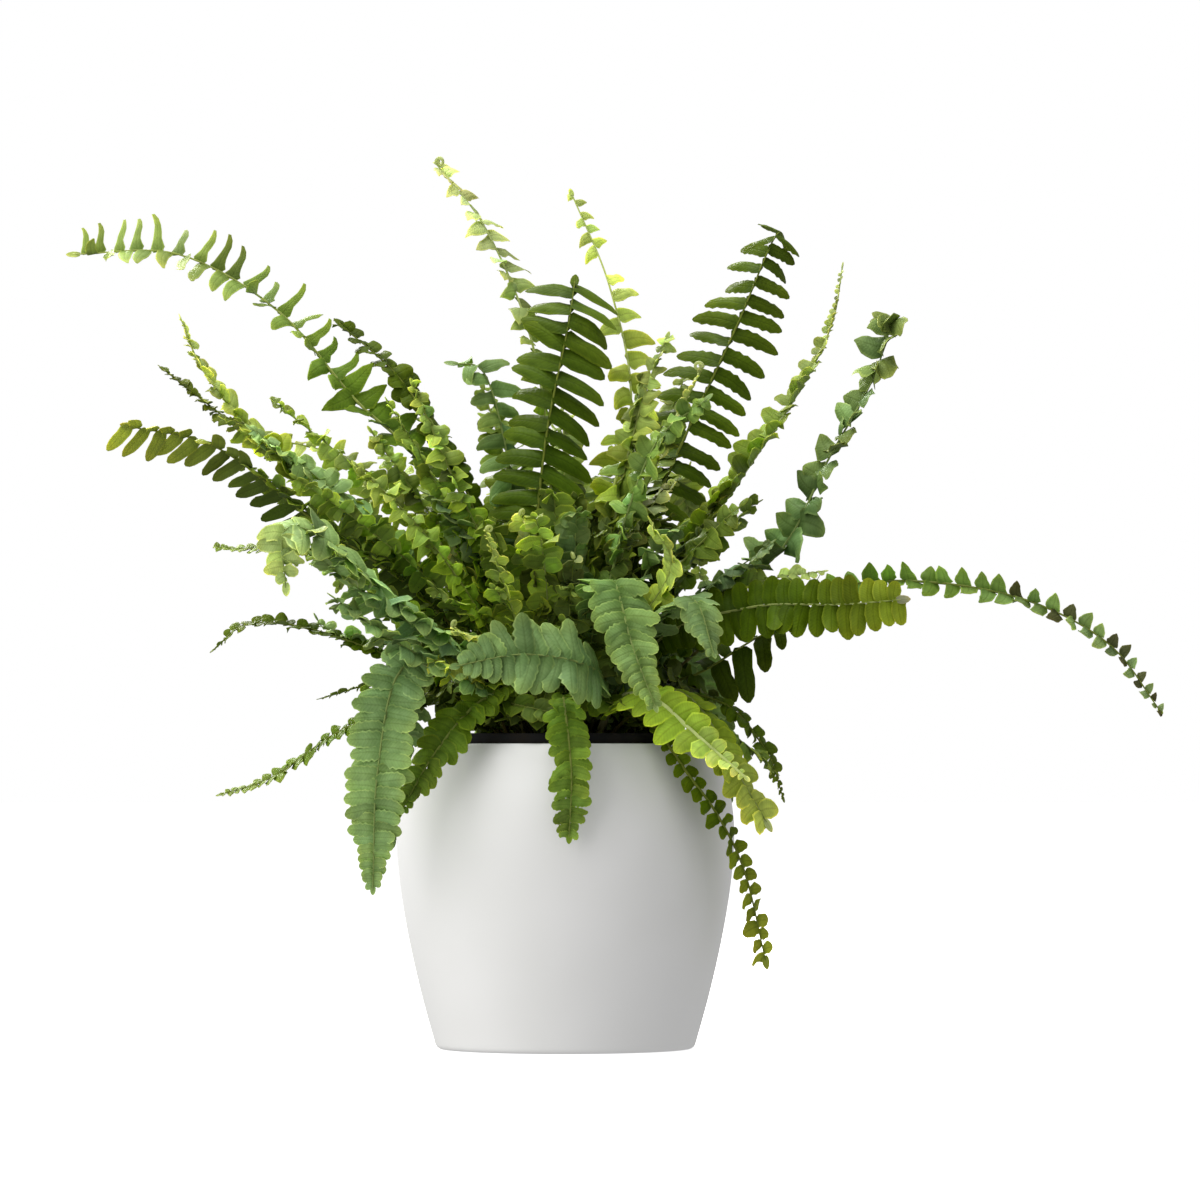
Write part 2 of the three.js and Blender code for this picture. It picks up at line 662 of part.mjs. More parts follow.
// One leaflet's outer points, in order from its lower edge over its tip to its upper edge.
function leafletPoints(from, to, side, length, lift, rounded) {
  const along = from.along.clone().add(to.along).normalize();
  const out = from.side.clone().add(to.side).normalize().multiplyScalar(side);
  const face = from.face.clone().add(to.face).normalize();
  const pitch = from.point.distanceTo(to.point);
  const root = from.point.clone().lerp(to.point, 0.5).addScaledVector(out, from.radius);
  const axis = out
    .multiplyScalar(Math.cos(SWEEP))
    .addScaledVector(along, Math.sin(SWEEP))
    .multiplyScalar(Math.cos(lift))
    .addScaledVector(face, Math.sin(lift))
    .normalize();
  const normal = new THREE.Vector3().crossVectors(along, axis).multiplyScalar(side).normalize();
  const outline = rounded ? ROUNDED_OUTLINE : POINTED_OUTLINE;
  const points = outline.map(([reach, across]) =>
    root
      .clone()
      .addScaledVector(axis, reach * length)
      .addScaledVector(along, across * pitch)
      .addScaledVector(DOWN, SAG * length * reach * reach),
  );
  const base = [from, to].map((s) => s.point.clone().addScaledVector(s.side, side * s.radius));
  return { points, normal, base };
}

function shapesOf({ points, base }) {
  const [a, b] = base;
  const last = points[points.length - 1];
  const shapes = [[a, b, last], [a, last, points[0]]];
  if (points.length === 3) shapes.push(points);
  return shapes;
}

// Neighbours on one frond meet at their shared notch, so only a leaflet's outer edges keep clear of them.
function isClear(frond, station, leaflet) {
  const shapes = shapesOf(leaflet);
  const edges = leaflet.points.slice(1).map((p, i) => [leaflet.points[i], p]);
  const middles = shapes.map((shape) => new THREE.Triangle(...shape).getMidpoint(new THREE.Vector3()));
  if ([...shapes.flat(), ...middles].some(inPots)) return false;
  const box = new THREE.Box3().setFromPoints(shapes.flat()).expandByScalar(LEAF_HALF_THICKNESS);
  return placed.every((other) => {
    if (!other.box.intersectsBox(box)) return true;
    const apart = other.frond === frond ? Math.abs(other.station - station) : Infinity;
    if (other.side === 0 && apart < OWN_RIB_STATIONS) return true;
    const sharesNotch = apart < NOTCH_STATIONS;
    const gap = LEAF_HALF_THICKNESS + other.radius + (sharesNotch ? NOTCH_CLEARANCE : CLEARANCE);
    return (sharesNotch ? edges : shapes).every((shape) => shapeGap(shape, other.shape) >= gap);
  });
}

// The fullest pose of a leaflet that clears everything placed before it, or null if none does.
function clearedLeaflet(frond, station, from, to, side, length, lift, rounded) {
  for (const share of LENGTHS) {
    for (const extra of LIFTS) {
      const turn = THREE.MathUtils.clamp(lift + extra, -HIGHEST_LIFT, HIGHEST_LIFT);
      const leaflet = leafletPoints(from, to, side, length * share, THREE.MathUtils.degToRad(turn), rounded);
      if (!isClear(frond, station, leaflet)) continue;
      shapesOf(leaflet).forEach((shape) => place(frond, station, side, shape, LEAF_HALF_THICKNESS));
      return leaflet;
    }
  }
  return null;
}

// Stations of a frond: two in the soil, some along the bare stalk, then one at each notch between leaflets.
function stationsOf(rib, pairs, twist, leaf) {
  const bare = THREE.MathUtils.clamp(BARE.length / rib.total, BARE.least, BARE.most);
  const stations = [footStation(rib, STEM.foot), footStation(rib, SOIL.middle)];
  for (let i = 1; i < BARE.steps; i += 1) stations.push(stationAt(rib, (bare * i) / BARE.steps, twist));
  const leafyEnd = 1 - Math.min(BARE_TIP.most, (leaf * BARE_TIP.leafShare) / rib.total);
  for (let i = 0; i <= pairs; i += 1) {
    const u = i / pairs;
    const eased = u * (1 + CROWDING - CROWDING * u);
    stations.push({ ...stationAt(rib, bare + (leafyEnd - bare) * eased, twist), leafy: i < pairs, u });
  }
  stations.forEach((station) => {
    station.radius = STEM.radius * (1 - STEM_THINNING * station.share);
  });
  return stations;
}

// Builds a frond's closed mesh from its stations and leaflets.
function frondGeometry(stations, tip, leaflets) {
  const positions = [];
  const faces = [];
  const vertex = (p) => positions.push(p.x, p.y, p.z) / 3 - 1;
  const quad = (a, b, c, d) => faces.push(a, b, c, a, c, d);
  // A ring runs right low, right high, top, left high, left low, seen from the tip.
  const rings = stations.map(({ point, side, face, radius }) =>
    [[1, -1], [1, 1], [0, 0], [-1, 1], [-1, -1]].map(([across, up]) => {
      const corner = point.clone().addScaledVector(side, across * radius);
      return vertex(corner.addScaledVector(face, across === 0 ? radius : up * STEM.side));
    }),
  );
  for (let i = 0; i + 1 < rings.length; i += 1) {
    const [near, far] = [rings[i], rings[i + 1]];
    for (const [a, b] of [[1, 2], [2, 3], [4, 0]]) quad(near[a], near[b], far[b], far[a]);
    for (const side of [1, -1]) {
      const leaflet = leaflets.get(`${i}:${side}`);
      const [low, high] = side === 1 ? [0, 1] : [4, 3];
      if (!leaflet) {
        if (side === 1) quad(near[low], near[high], far[high], far[low]);
        else quad(near[high], near[low], far[low], far[high]);
        continue;
      }
      const ordered = side === 1 ? [...leaflet.points].reverse() : leaflet.points;
      const ends = side === 1 ? [near, far] : [far, near];
      const offset = leaflet.normal.clone().multiplyScalar(LEAF_HALF_THICKNESS);
      const upper = ordered.map((p) => vertex(p.clone().add(offset)));
      const lower = ordered.map((p) => vertex(p.clone().sub(offset)));
      const top = [ends[0][high], ends[1][high], ...upper];
      const bottom = [ends[0][low], ends[1][low], ...lower];
      const lastCorner = top.length - 1;
      const triangles = [[0, 1, 2], [0, 2, lastCorner]];
      if (ordered.length === 3) triangles.push([2, 3, 4]);
      for (const [a, b, c] of triangles) faces.push(top[a], top[b], top[c], bottom[a], bottom[c], bottom[b]);
      for (let e = 1; e <= lastCorner; e += 1) {
        const next = (e + 1) % (lastCorner + 1);
        quad(top[next], top[e], bottom[e], bottom[next]);
      }
    }
  }
  const apex = vertex(tip);
  const last = rings[rings.length - 1];
  for (let i = 0; i < RIB_SIDES; i += 1) faces.push(last[i], last[(i + 1) % RIB_SIDES], apex);
  const foot = rings[0];
  for (let i = 1; i + 1 < RIB_SIDES; i += 1) faces.push(foot[0], foot[i + 1], foot[i]);
  const geometry = new THREE.BufferGeometry();
  geometry.setAttribute("position", new THREE.BufferAttribute(new Float32Array(positions), 3));
  geometry.setIndex(faces);
  return geometry;
}

function growFronds(fronds, ribs) {
  const grown = fronds.map(({ pairs, twist, leaf }, index) => stationsOf(ribs[index], pairs, twist, leaf));
  grown.forEach((stations, index) => {
    for (let i = 1; i + 1 < stations.length; i += 1) {
      place(index, i, 0, [stations[i].point, stations[i + 1].point], STEM.radius);
    }
  });
  return fronds.map(({ name, tone, leaf, fold, taper = TAPER }, index) => {
    const stations = grown[index];
    const rounded = leaf >= ROUNDED_LEAFLETS && !name.startsWith("back");
    const leaflets = new Map();
    stations.forEach((from, i) => {
      if (!from.leafy) return;
      const to = stations[i + 1];
      const length = leaf * leafletShare((from.u + to.u) / 2, taper);
      const lift = THREE.MathUtils.lerp(fold[0], fold[1], from.u);
      for (const side of [1, -1]) {
        const leaflet = clearedLeaflet(index, i, from, to, side, length, lift, rounded);
        if (leaflet) leaflets.set(`${i}:${side}`, leaflet);
      }
    });
    const tip = ribs[index].samples.at(-1);
    return meshOf(`frond_${name}`, frondGeometry(stations, tip, leaflets), tone);
  });
}

function meshOf(name, geometry, tone) {
  const [colour, roughness] = COLOURS[tone];
  const material = new THREE.MeshStandardMaterial({ color: colour, roughness, metalness: 0 });
  geometry.computeVertexNormals();
  const mesh = new THREE.Mesh(geometry, material);
  mesh.name = name;
  return mesh;
}

const fronds = [...FRONDS, ...backFronds()];
const ribs = plantRibs(fronds);
const feet = ribs.map((rib) => rib.foot);

const pottedFern = new THREE.Group();
pottedFern.add(meshOf("cover_pot", coverPotGeometry(), "pot"));
pottedFern.add(meshOf("grow_pot", growPotGeometry(), "growPot"));
pottedFern.add(meshOf("soil", soilGeometry(feet), "soil"));
pottedFern.add(meshOf("crown", turned(crownOutline(0), CROWN.segments), "crown"));
growFronds(fronds, ribs).forEach((frond) => pottedFern.add(frond));

export default pottedFern;
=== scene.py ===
# %% [markdown]
# # A sword fern in a white cover pot
# This notebook dresses a plain solid model of a potted fern. The solid model says where the pots, the
# soil and every frond stand, and it stays as it is. Here each of them gets a finer shape and a finish.
# All lengths in Blender are metres, and the tables are in millimetres.

# %% Load the solid model
import math
import random

import bmesh
import bpy
import numpy as np
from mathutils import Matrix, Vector


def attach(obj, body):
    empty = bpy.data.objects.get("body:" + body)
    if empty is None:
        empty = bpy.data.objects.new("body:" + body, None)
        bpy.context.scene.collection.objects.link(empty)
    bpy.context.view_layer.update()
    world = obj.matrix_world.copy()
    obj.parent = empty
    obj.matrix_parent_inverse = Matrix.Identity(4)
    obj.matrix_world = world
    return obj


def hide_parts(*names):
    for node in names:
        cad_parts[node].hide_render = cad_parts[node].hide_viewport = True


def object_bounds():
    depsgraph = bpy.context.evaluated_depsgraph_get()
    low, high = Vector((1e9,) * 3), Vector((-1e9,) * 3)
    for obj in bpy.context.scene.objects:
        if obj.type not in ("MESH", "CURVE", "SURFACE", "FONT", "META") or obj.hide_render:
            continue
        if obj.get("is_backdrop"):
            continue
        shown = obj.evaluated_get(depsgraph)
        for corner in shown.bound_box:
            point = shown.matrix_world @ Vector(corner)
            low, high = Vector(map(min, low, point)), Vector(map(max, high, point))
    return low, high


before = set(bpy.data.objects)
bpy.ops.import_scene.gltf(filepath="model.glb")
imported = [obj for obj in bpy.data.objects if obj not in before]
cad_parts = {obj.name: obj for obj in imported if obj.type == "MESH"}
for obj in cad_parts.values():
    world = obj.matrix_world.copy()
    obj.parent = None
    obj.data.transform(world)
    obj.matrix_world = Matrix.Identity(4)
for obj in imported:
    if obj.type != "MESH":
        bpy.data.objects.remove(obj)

MM = 0.001  # a millimetre in Blender's metres
cad_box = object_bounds()
print("solid model:", len(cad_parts), "nodes, box", cad_box)

# %% [markdown]
# ## Camera and studio
# The fern is seen from straight in front, from about the height of the pot's rim, through a long lens,
# so that the pot's upright sides hardly lean in. The camera comes first, because each piece is compared
# through it. A long lens from 3 m away could also be a short one close by, but then the near fronds
# would look far too large.

# %% Camera
EYE = Vector((0.0152, -3.0, 0.1346))  # where the camera stands
AIM = Vector((0.0152, 0.0, 0.1971))  # what is in the middle of its view
SENSOR_WIDTH, LENS = 36.0, 204.6  # millimetres
bpy.ops.object.select_all(action="DESELECT")
bpy.ops.object.camera_add(location=EYE, rotation=(AIM - EYE).to_track_quat("-Z", "Y").to_euler())
camera = bpy.context.object
camera.name = "camera"
camera.data.sensor_width = SENSOR_WIDTH
camera.data.lens = LENS
bpy.context.scene.camera = camera
print("view is", round(SENSOR_WIDTH / LENS * (AIM - EYE).length / MM), "mm wide at the pot")

# %% [markdown]
# The studio is white all round. A very large soft lamp stands at the left, a smaller one hangs above,
# and one behind the leaves lets their thin tips glow. A single sun lamp would be simpler, but its hard
# shadows would cut the bush up. Colours are shown as they are, with no film look over them.

# %% Lamps
bpy.context.scene.view_settings.view_transform = "Standard"


def soft_lamp(name, place, aim, size, power, colour=(1.0, 1.0, 1.0)):
    """A square lamp that faces a point."""
    turn = (Vector(aim) - Vector(place)).to_track_quat("-Z", "Y").to_euler()
    bpy.ops.object.light_add(type="AREA", location=place, rotation=turn)
    lamp = bpy.context.object
    lamp.name = name
    lamp.data.size = size
    lamp.data.energy = power
    lamp.data.color = colour


soft_lamp("lamp_left", (-2.05, -1.25, 0.95), (0, 0, 0.15), 3.4, 62, (1.0, 0.99, 0.96))
soft_lamp("lamp_above", (-0.2, 0.1, 1.9), (0, 0, 0.2), 1.2, 36)
soft_lamp("lamp_behind", (-0.8, 1.8, 1.5), (0, 0, 0.3), 1.0, 62, (1.0, 0.98, 0.93))

# %% [markdown]
# The room itself is two backgrounds: a soft one that lights the fern from every side, and a pure white
# one that only the camera sees. The floor is a big sheet of pale paper that glows a little, so that it
# stays white and shows nothing but the pot's faint shadow. One brighter background could do both, but it
# would wash out the shade between the leaves.

# %% White room and floor
ROOM_LIGHT = 0.53
PAPER_GLOW = 0.66
FLOOR_SIZE, FLOOR_DROP = 24, 0.0002  # metres, and it lies a hair below the pot's foot
PURE_WHITE = (1, 1, 1, 1)
world = bpy.data.worlds.new("white_room")
bpy.context.scene.world = world
world.use_nodes = True
wires = world.node_tree
room = wires.nodes["Background"]
room.inputs["Color"].default_value = PURE_WHITE
room.inputs["Strength"].default_value = ROOM_LIGHT
backdrop = wires.nodes.new("ShaderNodeBackground")
backdrop.inputs["Color"].default_value = PURE_WHITE
rays = wires.nodes.new("ShaderNodeLightPath")
choose = wires.nodes.new("ShaderNodeMixShader")
wires.links.new(rays.outputs["Is Camera Ray"], choose.inputs["Fac"])
wires.links.new(room.outputs["Background"], choose.inputs[1])
wires.links.new(backdrop.outputs["Background"], choose.inputs[2])
wires.links.new(choose.outputs["Shader"], wires.nodes["World Output"].inputs["Surface"])

bpy.ops.mesh.primitive_plane_add(size=FLOOR_SIZE, location=(0, 0, -FLOOR_DROP))
floor = bpy.context.object
floor.name = "floor"
paper = bpy.data.materials.new("studio_paper")
paper.use_nodes = True
sheet = paper.node_tree.nodes["Principled BSDF"]
sheet.inputs["Base Color"].default_value = (0.9, 0.9, 0.9, 1)
sheet.inputs["Roughness"].default_value = 0.9
sheet.inputs["Specular IOR Level"].default_value = 0.1
sheet.inputs["Emission Color"].default_value = PURE_WHITE
sheet.inputs["Emission Strength"].default_value = PAPER_GLOW
floor.data.materials.append(paper)
floor.visible_diffuse = floor.visible_glossy = floor.visible_transmission = floor.visible_shadow = False
floor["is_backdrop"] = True
print("floor:", FLOOR_SIZE, "m, nodes in the room's light:", len(wires.nodes))

# %% [markdown]
# ## Working by hand in edit mode
# A few small helpers do what a modeller does with the mouse: clear the selection, go in and out of edit
# mode, pick points by their place, and turn a circle into a pot by pulling out its edge again and again.
# Spinning an outline would give the same pot, but it would leave doubled points on the seam to clean up.

# %% Edit-mode helpers


def deselect():
    bpy.ops.object.select_all(action="DESELECT")


def select_only(piece):
    deselect()
    piece.select_set(True)
    bpy.context.view_layer.objects.active = piece


def edit_all():
    """Goes into edit mode with everything selected."""
    bpy.ops.object.mode_set(mode="EDIT")
    bpy.ops.mesh.select_all(action="SELECT")


def leave_edit():
    bpy.ops.object.mode_set(mode="OBJECT")


def pick(test):
    """In edit mode, selects just the points whose place passes the test."""
    mesh = bmesh.from_edit_mesh(bpy.context.object.data)
    for point in mesh.verts:
        point.select_set(bool(test(point.co)))
    mesh.select_flush(True)
    bmesh.update_edit_mesh(bpy.context.object.data)


def settle(body):
    """In edit mode, sorts edges and faces by their points. Extruding leaves them in a new order in each
    run, and a subdivision or a boolean after it would come out a little different each time."""
    mesh = bmesh.from_edit_mesh(body.data)
    mesh.verts.index_update()
    count = len(mesh.verts)

    def order(part):
        corners = [point.index for point in part.verts]
        return float(min(corners) * count + max(corners))

    mesh.edges.sort(key=order)
    mesh.faces.sort(key=order)
    bmesh.update_edit_mesh(body.data)


def pull_rings(name, outline, sides):
    """A turned body. Outline is (radius, height) in millimetres, from near the axis round to near it."""
    outline = [(radius * MM, height * MM) for radius, height in outline]
    deselect()
    radius, height = outline[0]
    bpy.ops.mesh.primitive_circle_add(vertices=sides, radius=radius, fill_type="NGON",
                                      location=(0, 0, height))
    body = bpy.context.object
    body.name = body.data.name = name
    bpy.ops.object.transform_apply(location=True, rotation=False, scale=False)
    edit_all()
    bpy.ops.mesh.flip_normals()
    bpy.ops.mesh.select_mode(type="EDGE")
    bpy.ops.mesh.select_all(action="SELECT")
    for next_radius, next_height in outline[1:]:
        bpy.ops.mesh.extrude_edges_move()
        share = next_radius / radius
        bpy.ops.transform.resize(value=(share, share, 1), center_override=(0, 0, 0))
        bpy.ops.transform.translate(value=(0, 0, next_height - height))
        radius, height = next_radius, next_height
    bpy.ops.mesh.edge_face_add()
    bpy.ops.mesh.select_all(action="SELECT")
    bpy.ops.mesh.normals_make_consistent(inside=False)
    settle(body)
    leave_edit()
    return body


def arc(centre, size, start, end, steps):
    """Outline points on part of a circle in the (radius, height) plane, with the angles in degrees."""
    angles = [math.radians(start + (end - start) * i / steps) for i in range(steps + 1)]
    return [(centre[0] + size * math.cos(a), centre[1] + size * math.sin(a)) for a in angles]


def finish_piece(piece, slot, *nodes, smooth=35):
    """Every piece rides on the one body and stands for its solid nodes. The slot is not used."""
    select_only(piece)
    bpy.ops.object.shade_smooth_by_angle(angle=math.radians(smooth))
    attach(piece, "root")
    if nodes:
        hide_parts(*nodes)
    return len(piece.data.polygons)


# %% [markdown]
# ## Materials from nodes
# A finish is built from a few kinds of node: noise for unevenness, a ramp that turns it into colour or
# roughness, and a bump that tilts the surface. Photos on the surface would be quicker, but they have a
# seam and one size. These helpers wire them, so that each material below reads as a short list.

# %% Material helpers


def new_material(name, **values):
    """A Principled material with its plain values set on the shader's own sockets. It comes with its
    node tree, its shader and the socket that gives a point's place on the object."""
    material = bpy.data.materials.new(name)
    material.use_nodes = True
    tree = material.node_tree
    shader = tree.nodes["Principled BSDF"]
    for socket, value in values.items():
        shader.inputs[socket.replace("_", " ")].default_value = value
    return material, tree, shader, add_node(tree, "TexCoord").outputs["Object"]


def add_node(tree, kind, inputs=(), **settings):
    """A node with its settings, and its inputs given by name as a value or as another node's socket."""
    node = tree.nodes.new("ShaderNode" + kind)
    for setting, value in settings.items():
        setattr(node, setting, value)
    for socket, value in dict(inputs).items():
        if isinstance(value, bpy.types.NodeSocket):
            tree.links.new(value, node.inputs[socket])
        else:
            node.inputs[socket].default_value = value
    return node


def math_node(tree, operation, *values):
    return add_node(tree, "Math", enumerate(values), operation=operation).outputs[0]


def ease(tree, value, low, high, out_low=0.0, out_high=1.0):
    """A smooth step from out_low to out_high as the value goes from low to high."""
    inputs = {"Value": value, "From Min": low, "From Max": high, "To Min": out_low, "To Max": out_high}
    return add_node(tree, "MapRange", inputs, interpolation_type="SMOOTHSTEP").outputs["Result"]


def blend(tree, share, first, second, how="MIX"):
    """Two colours mixed by a share. Each of the three may be a value or a socket."""
    sockets = {0: share, 6: first, 7: second}  # a Mix node's colour sockets have only numbers
    return add_node(tree, "Mix", sockets, data_type="RGBA", blend_type=how).outputs[2]


def noise(tree, place, scale, detail=3.0, roughness=0.55):
    """Noise with about as many grains in a metre as its scale says."""
    inputs = {"Vector": place, "Scale": scale, "Detail": detail, "Roughness": roughness}
    return add_node(tree, "TexNoise", inputs).outputs["Fac"]


def bump(tree, shader, height, strength, distance):
    """Tilts the surface by a height. Distance is the height's range in metres."""
    node = add_node(tree, "Bump", {"Height": height, "Strength": strength, "Distance": distance})
    tree.links.new(node.outputs["Normal"], shader.inputs["Normal"])


def paint(tree, shader, colour, roughness=None):
    """Wires a colour into the shader, and a roughness where that varies too."""
    tree.links.new(colour, shader.inputs["Base Color"])
    if roughness is not None:
        tree.links.new(roughness, shader.inputs["Roughness"])


def give(material, *pieces):
    """Puts a material on its pieces and says how many nodes it took."""
    for piece in pieces:
        piece.data.materials.append(material)
    print(material.name, "has", len(material.node_tree.nodes), "nodes, on", [p.name for p in pieces])


# %% [markdown]
# ## Cover pot
# The real pot is moulded plastic: a tapered wall that swells to a round shoulder and draws in to a thin
# rim. A cylinder with bevelled edges would keep its straight wall, so the pot's outline is pulled up from
# the foot ring by ring, over the rim and down inside. The solid model has flat facets, which a smooth
# white pot would show at once, so this piece has 128 sides.

# %% Cover pot shape
FOOT, WIDEST, RIM = 56.5, 74.3, 65.0  # radii
WIDEST_HEIGHT, POT_HEIGHT = 93.0, 134.0
BELOW_CURVE, ABOVE_CURVE = 1.6, 2.1  # how full the wall's curve is below and above its widest place
WALL = 2.6
FOOT_ROUND = 3.2  # radius of the round edge under the foot
POT_SIDES = 128


def pot_radius(height):
    """The cover pot's outer radius at a height, both in millimetres."""
    if height < WIDEST_HEIGHT:
        return WIDEST - (WIDEST - FOOT) * (1 - height / WIDEST_HEIGHT) ** BELOW_CURVE
    risen = (height - WIDEST_HEIGHT) / (POT_HEIGHT - WIDEST_HEIGHT)
    return WIDEST - (WIDEST - RIM) * risen ** ABOVE_CURVE


under = [(4, 0.9), (40, 0.9), (43, 0.3), (45, 0), (50, 0)]
foot_arc = arc((pot_radius(2.3) - 3.06, FOOT_ROUND), FOOT_ROUND, -90, -17, 7)
outside = [(pot_radius(h), h) for h in np.linspace(4, POT_HEIGHT - 1.6, 28)]
lip = arc((RIM - WALL / 2, POT_HEIGHT - WALL / 2), WALL / 2, 10, 170, 6)
inside = [(pot_radius(h) - WALL, h) for h in np.linspace(POT_HEIGHT - 2.5, 9, 16)]
inner_floor = [(FOOT - WALL - 3, 5.2), (FOOT - WALL - 6, 3.8), (30, 3.6), (4, 3.6)]
pot_outline = under + foot_arc + outside + lip + inside + inner_floor
cover_pot = pull_rings("cover_pot_smooth", pot_outline, POT_SIDES)
print("cover pot faces:", finish_piece(cover_pot, "cover_pot", "cover_pot"))

# %% [markdown]
# Its finish is a soft satin white. Real plastic is never quite even: the gloss drifts a little over the
# wall, there are a few faint specks, and a very fine orange-peel ripple is left by the mould. One white
# with one gloss would be quicker, but it would look like paper.

# %% Cover pot finish
white_plastic, tree, shader, place = new_material(
    "satin_white_plastic", IOR=1.48, Specular_IOR_Level=0.42)
drift = noise(tree, place, 14, 2)
peel = noise(tree, place, 1400, 2)
specks = ease(tree, noise(tree, place, 420, 4, 0.7), 0.7, 0.82)
white = blend(tree, ease(tree, drift, 0.35, 0.65), (0.80, 0.80, 0.79, 1), (0.83, 0.83, 0.825, 1))
white = blend(tree, math_node(tree, "MULTIPLY", specks, 0.12), white, (0.5, 0.49, 0.46, 1))
paint(tree, shader, white, ease(tree, drift, 0.3, 0.7, 0.36, 0.47))
bump(tree, shader, peel, 0.05, 0.0003)
give(white_plastic, cover_pot)

# %% [markdown]
# ## Grow pot
# Inside stands the thin black pot that the fern was raised in. Only its lip shows, as a dark line above
# the white rim. It is pulled up in the same way. Its drain holes could be made by deleting faces, but
# that would leave them open between the floor's two sides, so a boolean cuts them.

# %% Grow pot shape
GROW_BASE, GROW_TOP = 3.9, 138.5
LIP, LIP_STEP, LIP_FOOT = 61.0, 1.8, 129.5
GROW_FOOT = 45.0
GROW_WALL = 1.2


def grow_radius(height):
    """The grow pot's outer radius below its lip, in millimetres."""
    return GROW_FOOT + (LIP - LIP_STEP - GROW_FOOT) * (height - GROW_BASE) / (LIP_FOOT - GROW_BASE)


grow_outline = [(4, GROW_BASE), (GROW_FOOT - 2, GROW_BASE), (GROW_FOOT - 0.5, GROW_BASE + 0.5)]
grow_outline += [(grow_radius(h), h) for h in np.linspace(GROW_BASE + 2, LIP_FOOT - 0.4, 14)]
grow_outline += [(LIP - 0.5, LIP_FOOT), (LIP, LIP_FOOT + 0.5), (LIP, GROW_TOP - GROW_WALL)]
grow_outline += arc((LIP - GROW_WALL / 2, GROW_TOP - GROW_WALL / 2), GROW_WALL / 2, 0, 180, 4)
grow_outline += [(LIP - GROW_WALL, LIP_FOOT + 1), (LIP - LIP_STEP - GROW_WALL, LIP_FOOT)]
grow_outline += [(grow_radius(h) - GROW_WALL, h) for h in np.linspace(LIP_FOOT - 1, GROW_BASE + 3, 12)]
grow_outline += [(GROW_FOOT - 3, GROW_BASE + 1.6), (4, GROW_BASE + 1.6)]
grow_pot = pull_rings("grow_pot_black", grow_outline, 96)
print("grow pot points:", len(grow_pot.data.vertices))

# %% Drain holes
HOLES, HOLE_RADIUS, HOLE_RING = 4, 0.005, 0.030  # how many, and in metres their radius and their ring's
for i in range(HOLES):
    angle = (i + 0.5) * 2 * math.pi / HOLES
    deselect()
    spot = (HOLE_RING * math.cos(angle), HOLE_RING * math.sin(angle), 0.005)
    bpy.ops.mesh.primitive_cylinder_add(vertices=24, radius=HOLE_RADIUS, depth=0.01, location=spot)
    punch = bpy.context.object
    select_only(grow_pot)
    cut = grow_pot.modifiers.new("drain", "BOOLEAN")
    cut.operation, cut.object, cut.solver = "DIFFERENCE", punch, "EXACT"
    bpy.ops.object.modifier_apply(modifier=cut.name)
    bpy.data.objects.remove(punch)
print("grow pot faces:", finish_piece(grow_pot, "grow_pot", "grow_pot"))

# %% [markdown]
# Nursery plastic is dull black with a thin film of dried soil and lime, thickest in patches. The film
# could be painted on by hand, but noise spreads it over the whole pot without a seam.

# %% Grow pot finish
black_plastic, tree, shader, place = new_material(
    "dusty_black_plastic", IOR=1.45, Specular_IOR_Level=0.12)
dust = ease(tree, noise(tree, place, 160, 5, 0.65), 0.45, 0.75)
film = math_node(tree, "MULTIPLY", dust, 0.4)
black = blend(tree, film, (0.006, 0.006, 0.006, 1), (0.04, 0.03, 0.02, 1))
paint(tree, shader, black, ease(tree, dust, 0, 1, 0.55, 0.9))
bump(tree, shader, noise(tree, place, 900), 0.15, 0.0003)
give(black_plastic, grow_pot)

# %% [markdown]
# ## Soil
# Peat mix is a loose, dark, crumbly mound. Its body is one turned lump whose top is roughened by moving
# its points by chance, and hundreds of small crumbs lie on it. A bump alone would leave the mound's edge
# smooth where it shows under the leaves. One crumb is modelled, a squashed ball of 20 faces, and each
# copy is turned, stretched and sunk in by chance, always the same chance.

# %% Soil body
SOIL_TOP, SOIL_EDGE = 129.5, 127.0  # heights in the middle and at the wall
LEVEL_RADIUS, SLOPE_WIDTH = 41, 16  # it is level up to the first and slopes down over the second
ROUGH_ABOVE = 0.1265  # metres


def soil_height(radius):
    """The soil's height at a distance from the middle, in millimetres."""
    return SOIL_TOP - (SOIL_TOP - SOIL_EDGE) * min(1.0, max(0.0, (radius - LEVEL_RADIUS) / SLOPE_WIDTH))


soil_outline = [(4, 6), (43, 6), (43.3, 7)] + [(grow_radius(h) - 1.6, h) for h in (40, 90, 122)]
soil_outline += [(57.0, 126.2)] + [(r, soil_height(r)) for r in np.linspace(56, 4, 27)]
soil = pull_rings("soil_mound", soil_outline, 96)
bpy.ops.object.mode_set(mode="EDIT")
pick(lambda co: co.z > ROUGH_ABOVE)
bpy.ops.transform.vertex_random(offset=0.0011, uniform=0.6, normal=0.0, seed=3)
leave_edit()
print("soil faces:", finish_piece(soil, "soil", "soil", smooth=60))

# %% Copies of a small shape


def shape_arrays(piece):
    """A modelled shape's points and faces, ready to be copied. The shape itself is then taken away."""
    points = np.array([v.co[:] for v in piece.data.vertices])
    faces = [tuple(p.vertices) for p in piece.data.polygons]
    bpy.data.objects.remove(piece)
    return points, faces


def new_piece(name, points, faces):
    """A piece from its points, in millimetres, and its faces."""
    mesh = bpy.data.meshes.new(name)
    mesh.from_pydata((points * MM).tolist(), [], faces)
    piece = bpy.data.objects.new(name, mesh)
    bpy.context.scene.collection.objects.link(piece)
    return piece


def joined_copies(name, copies, faces):
    """One piece from the placed points of many copies and the one shape's faces."""
    size = len(copies[0])
    corners = [tuple(c + i * size for c in face) for i in range(len(copies)) for face in faces]
    return new_piece(name, np.vstack(copies), corners)


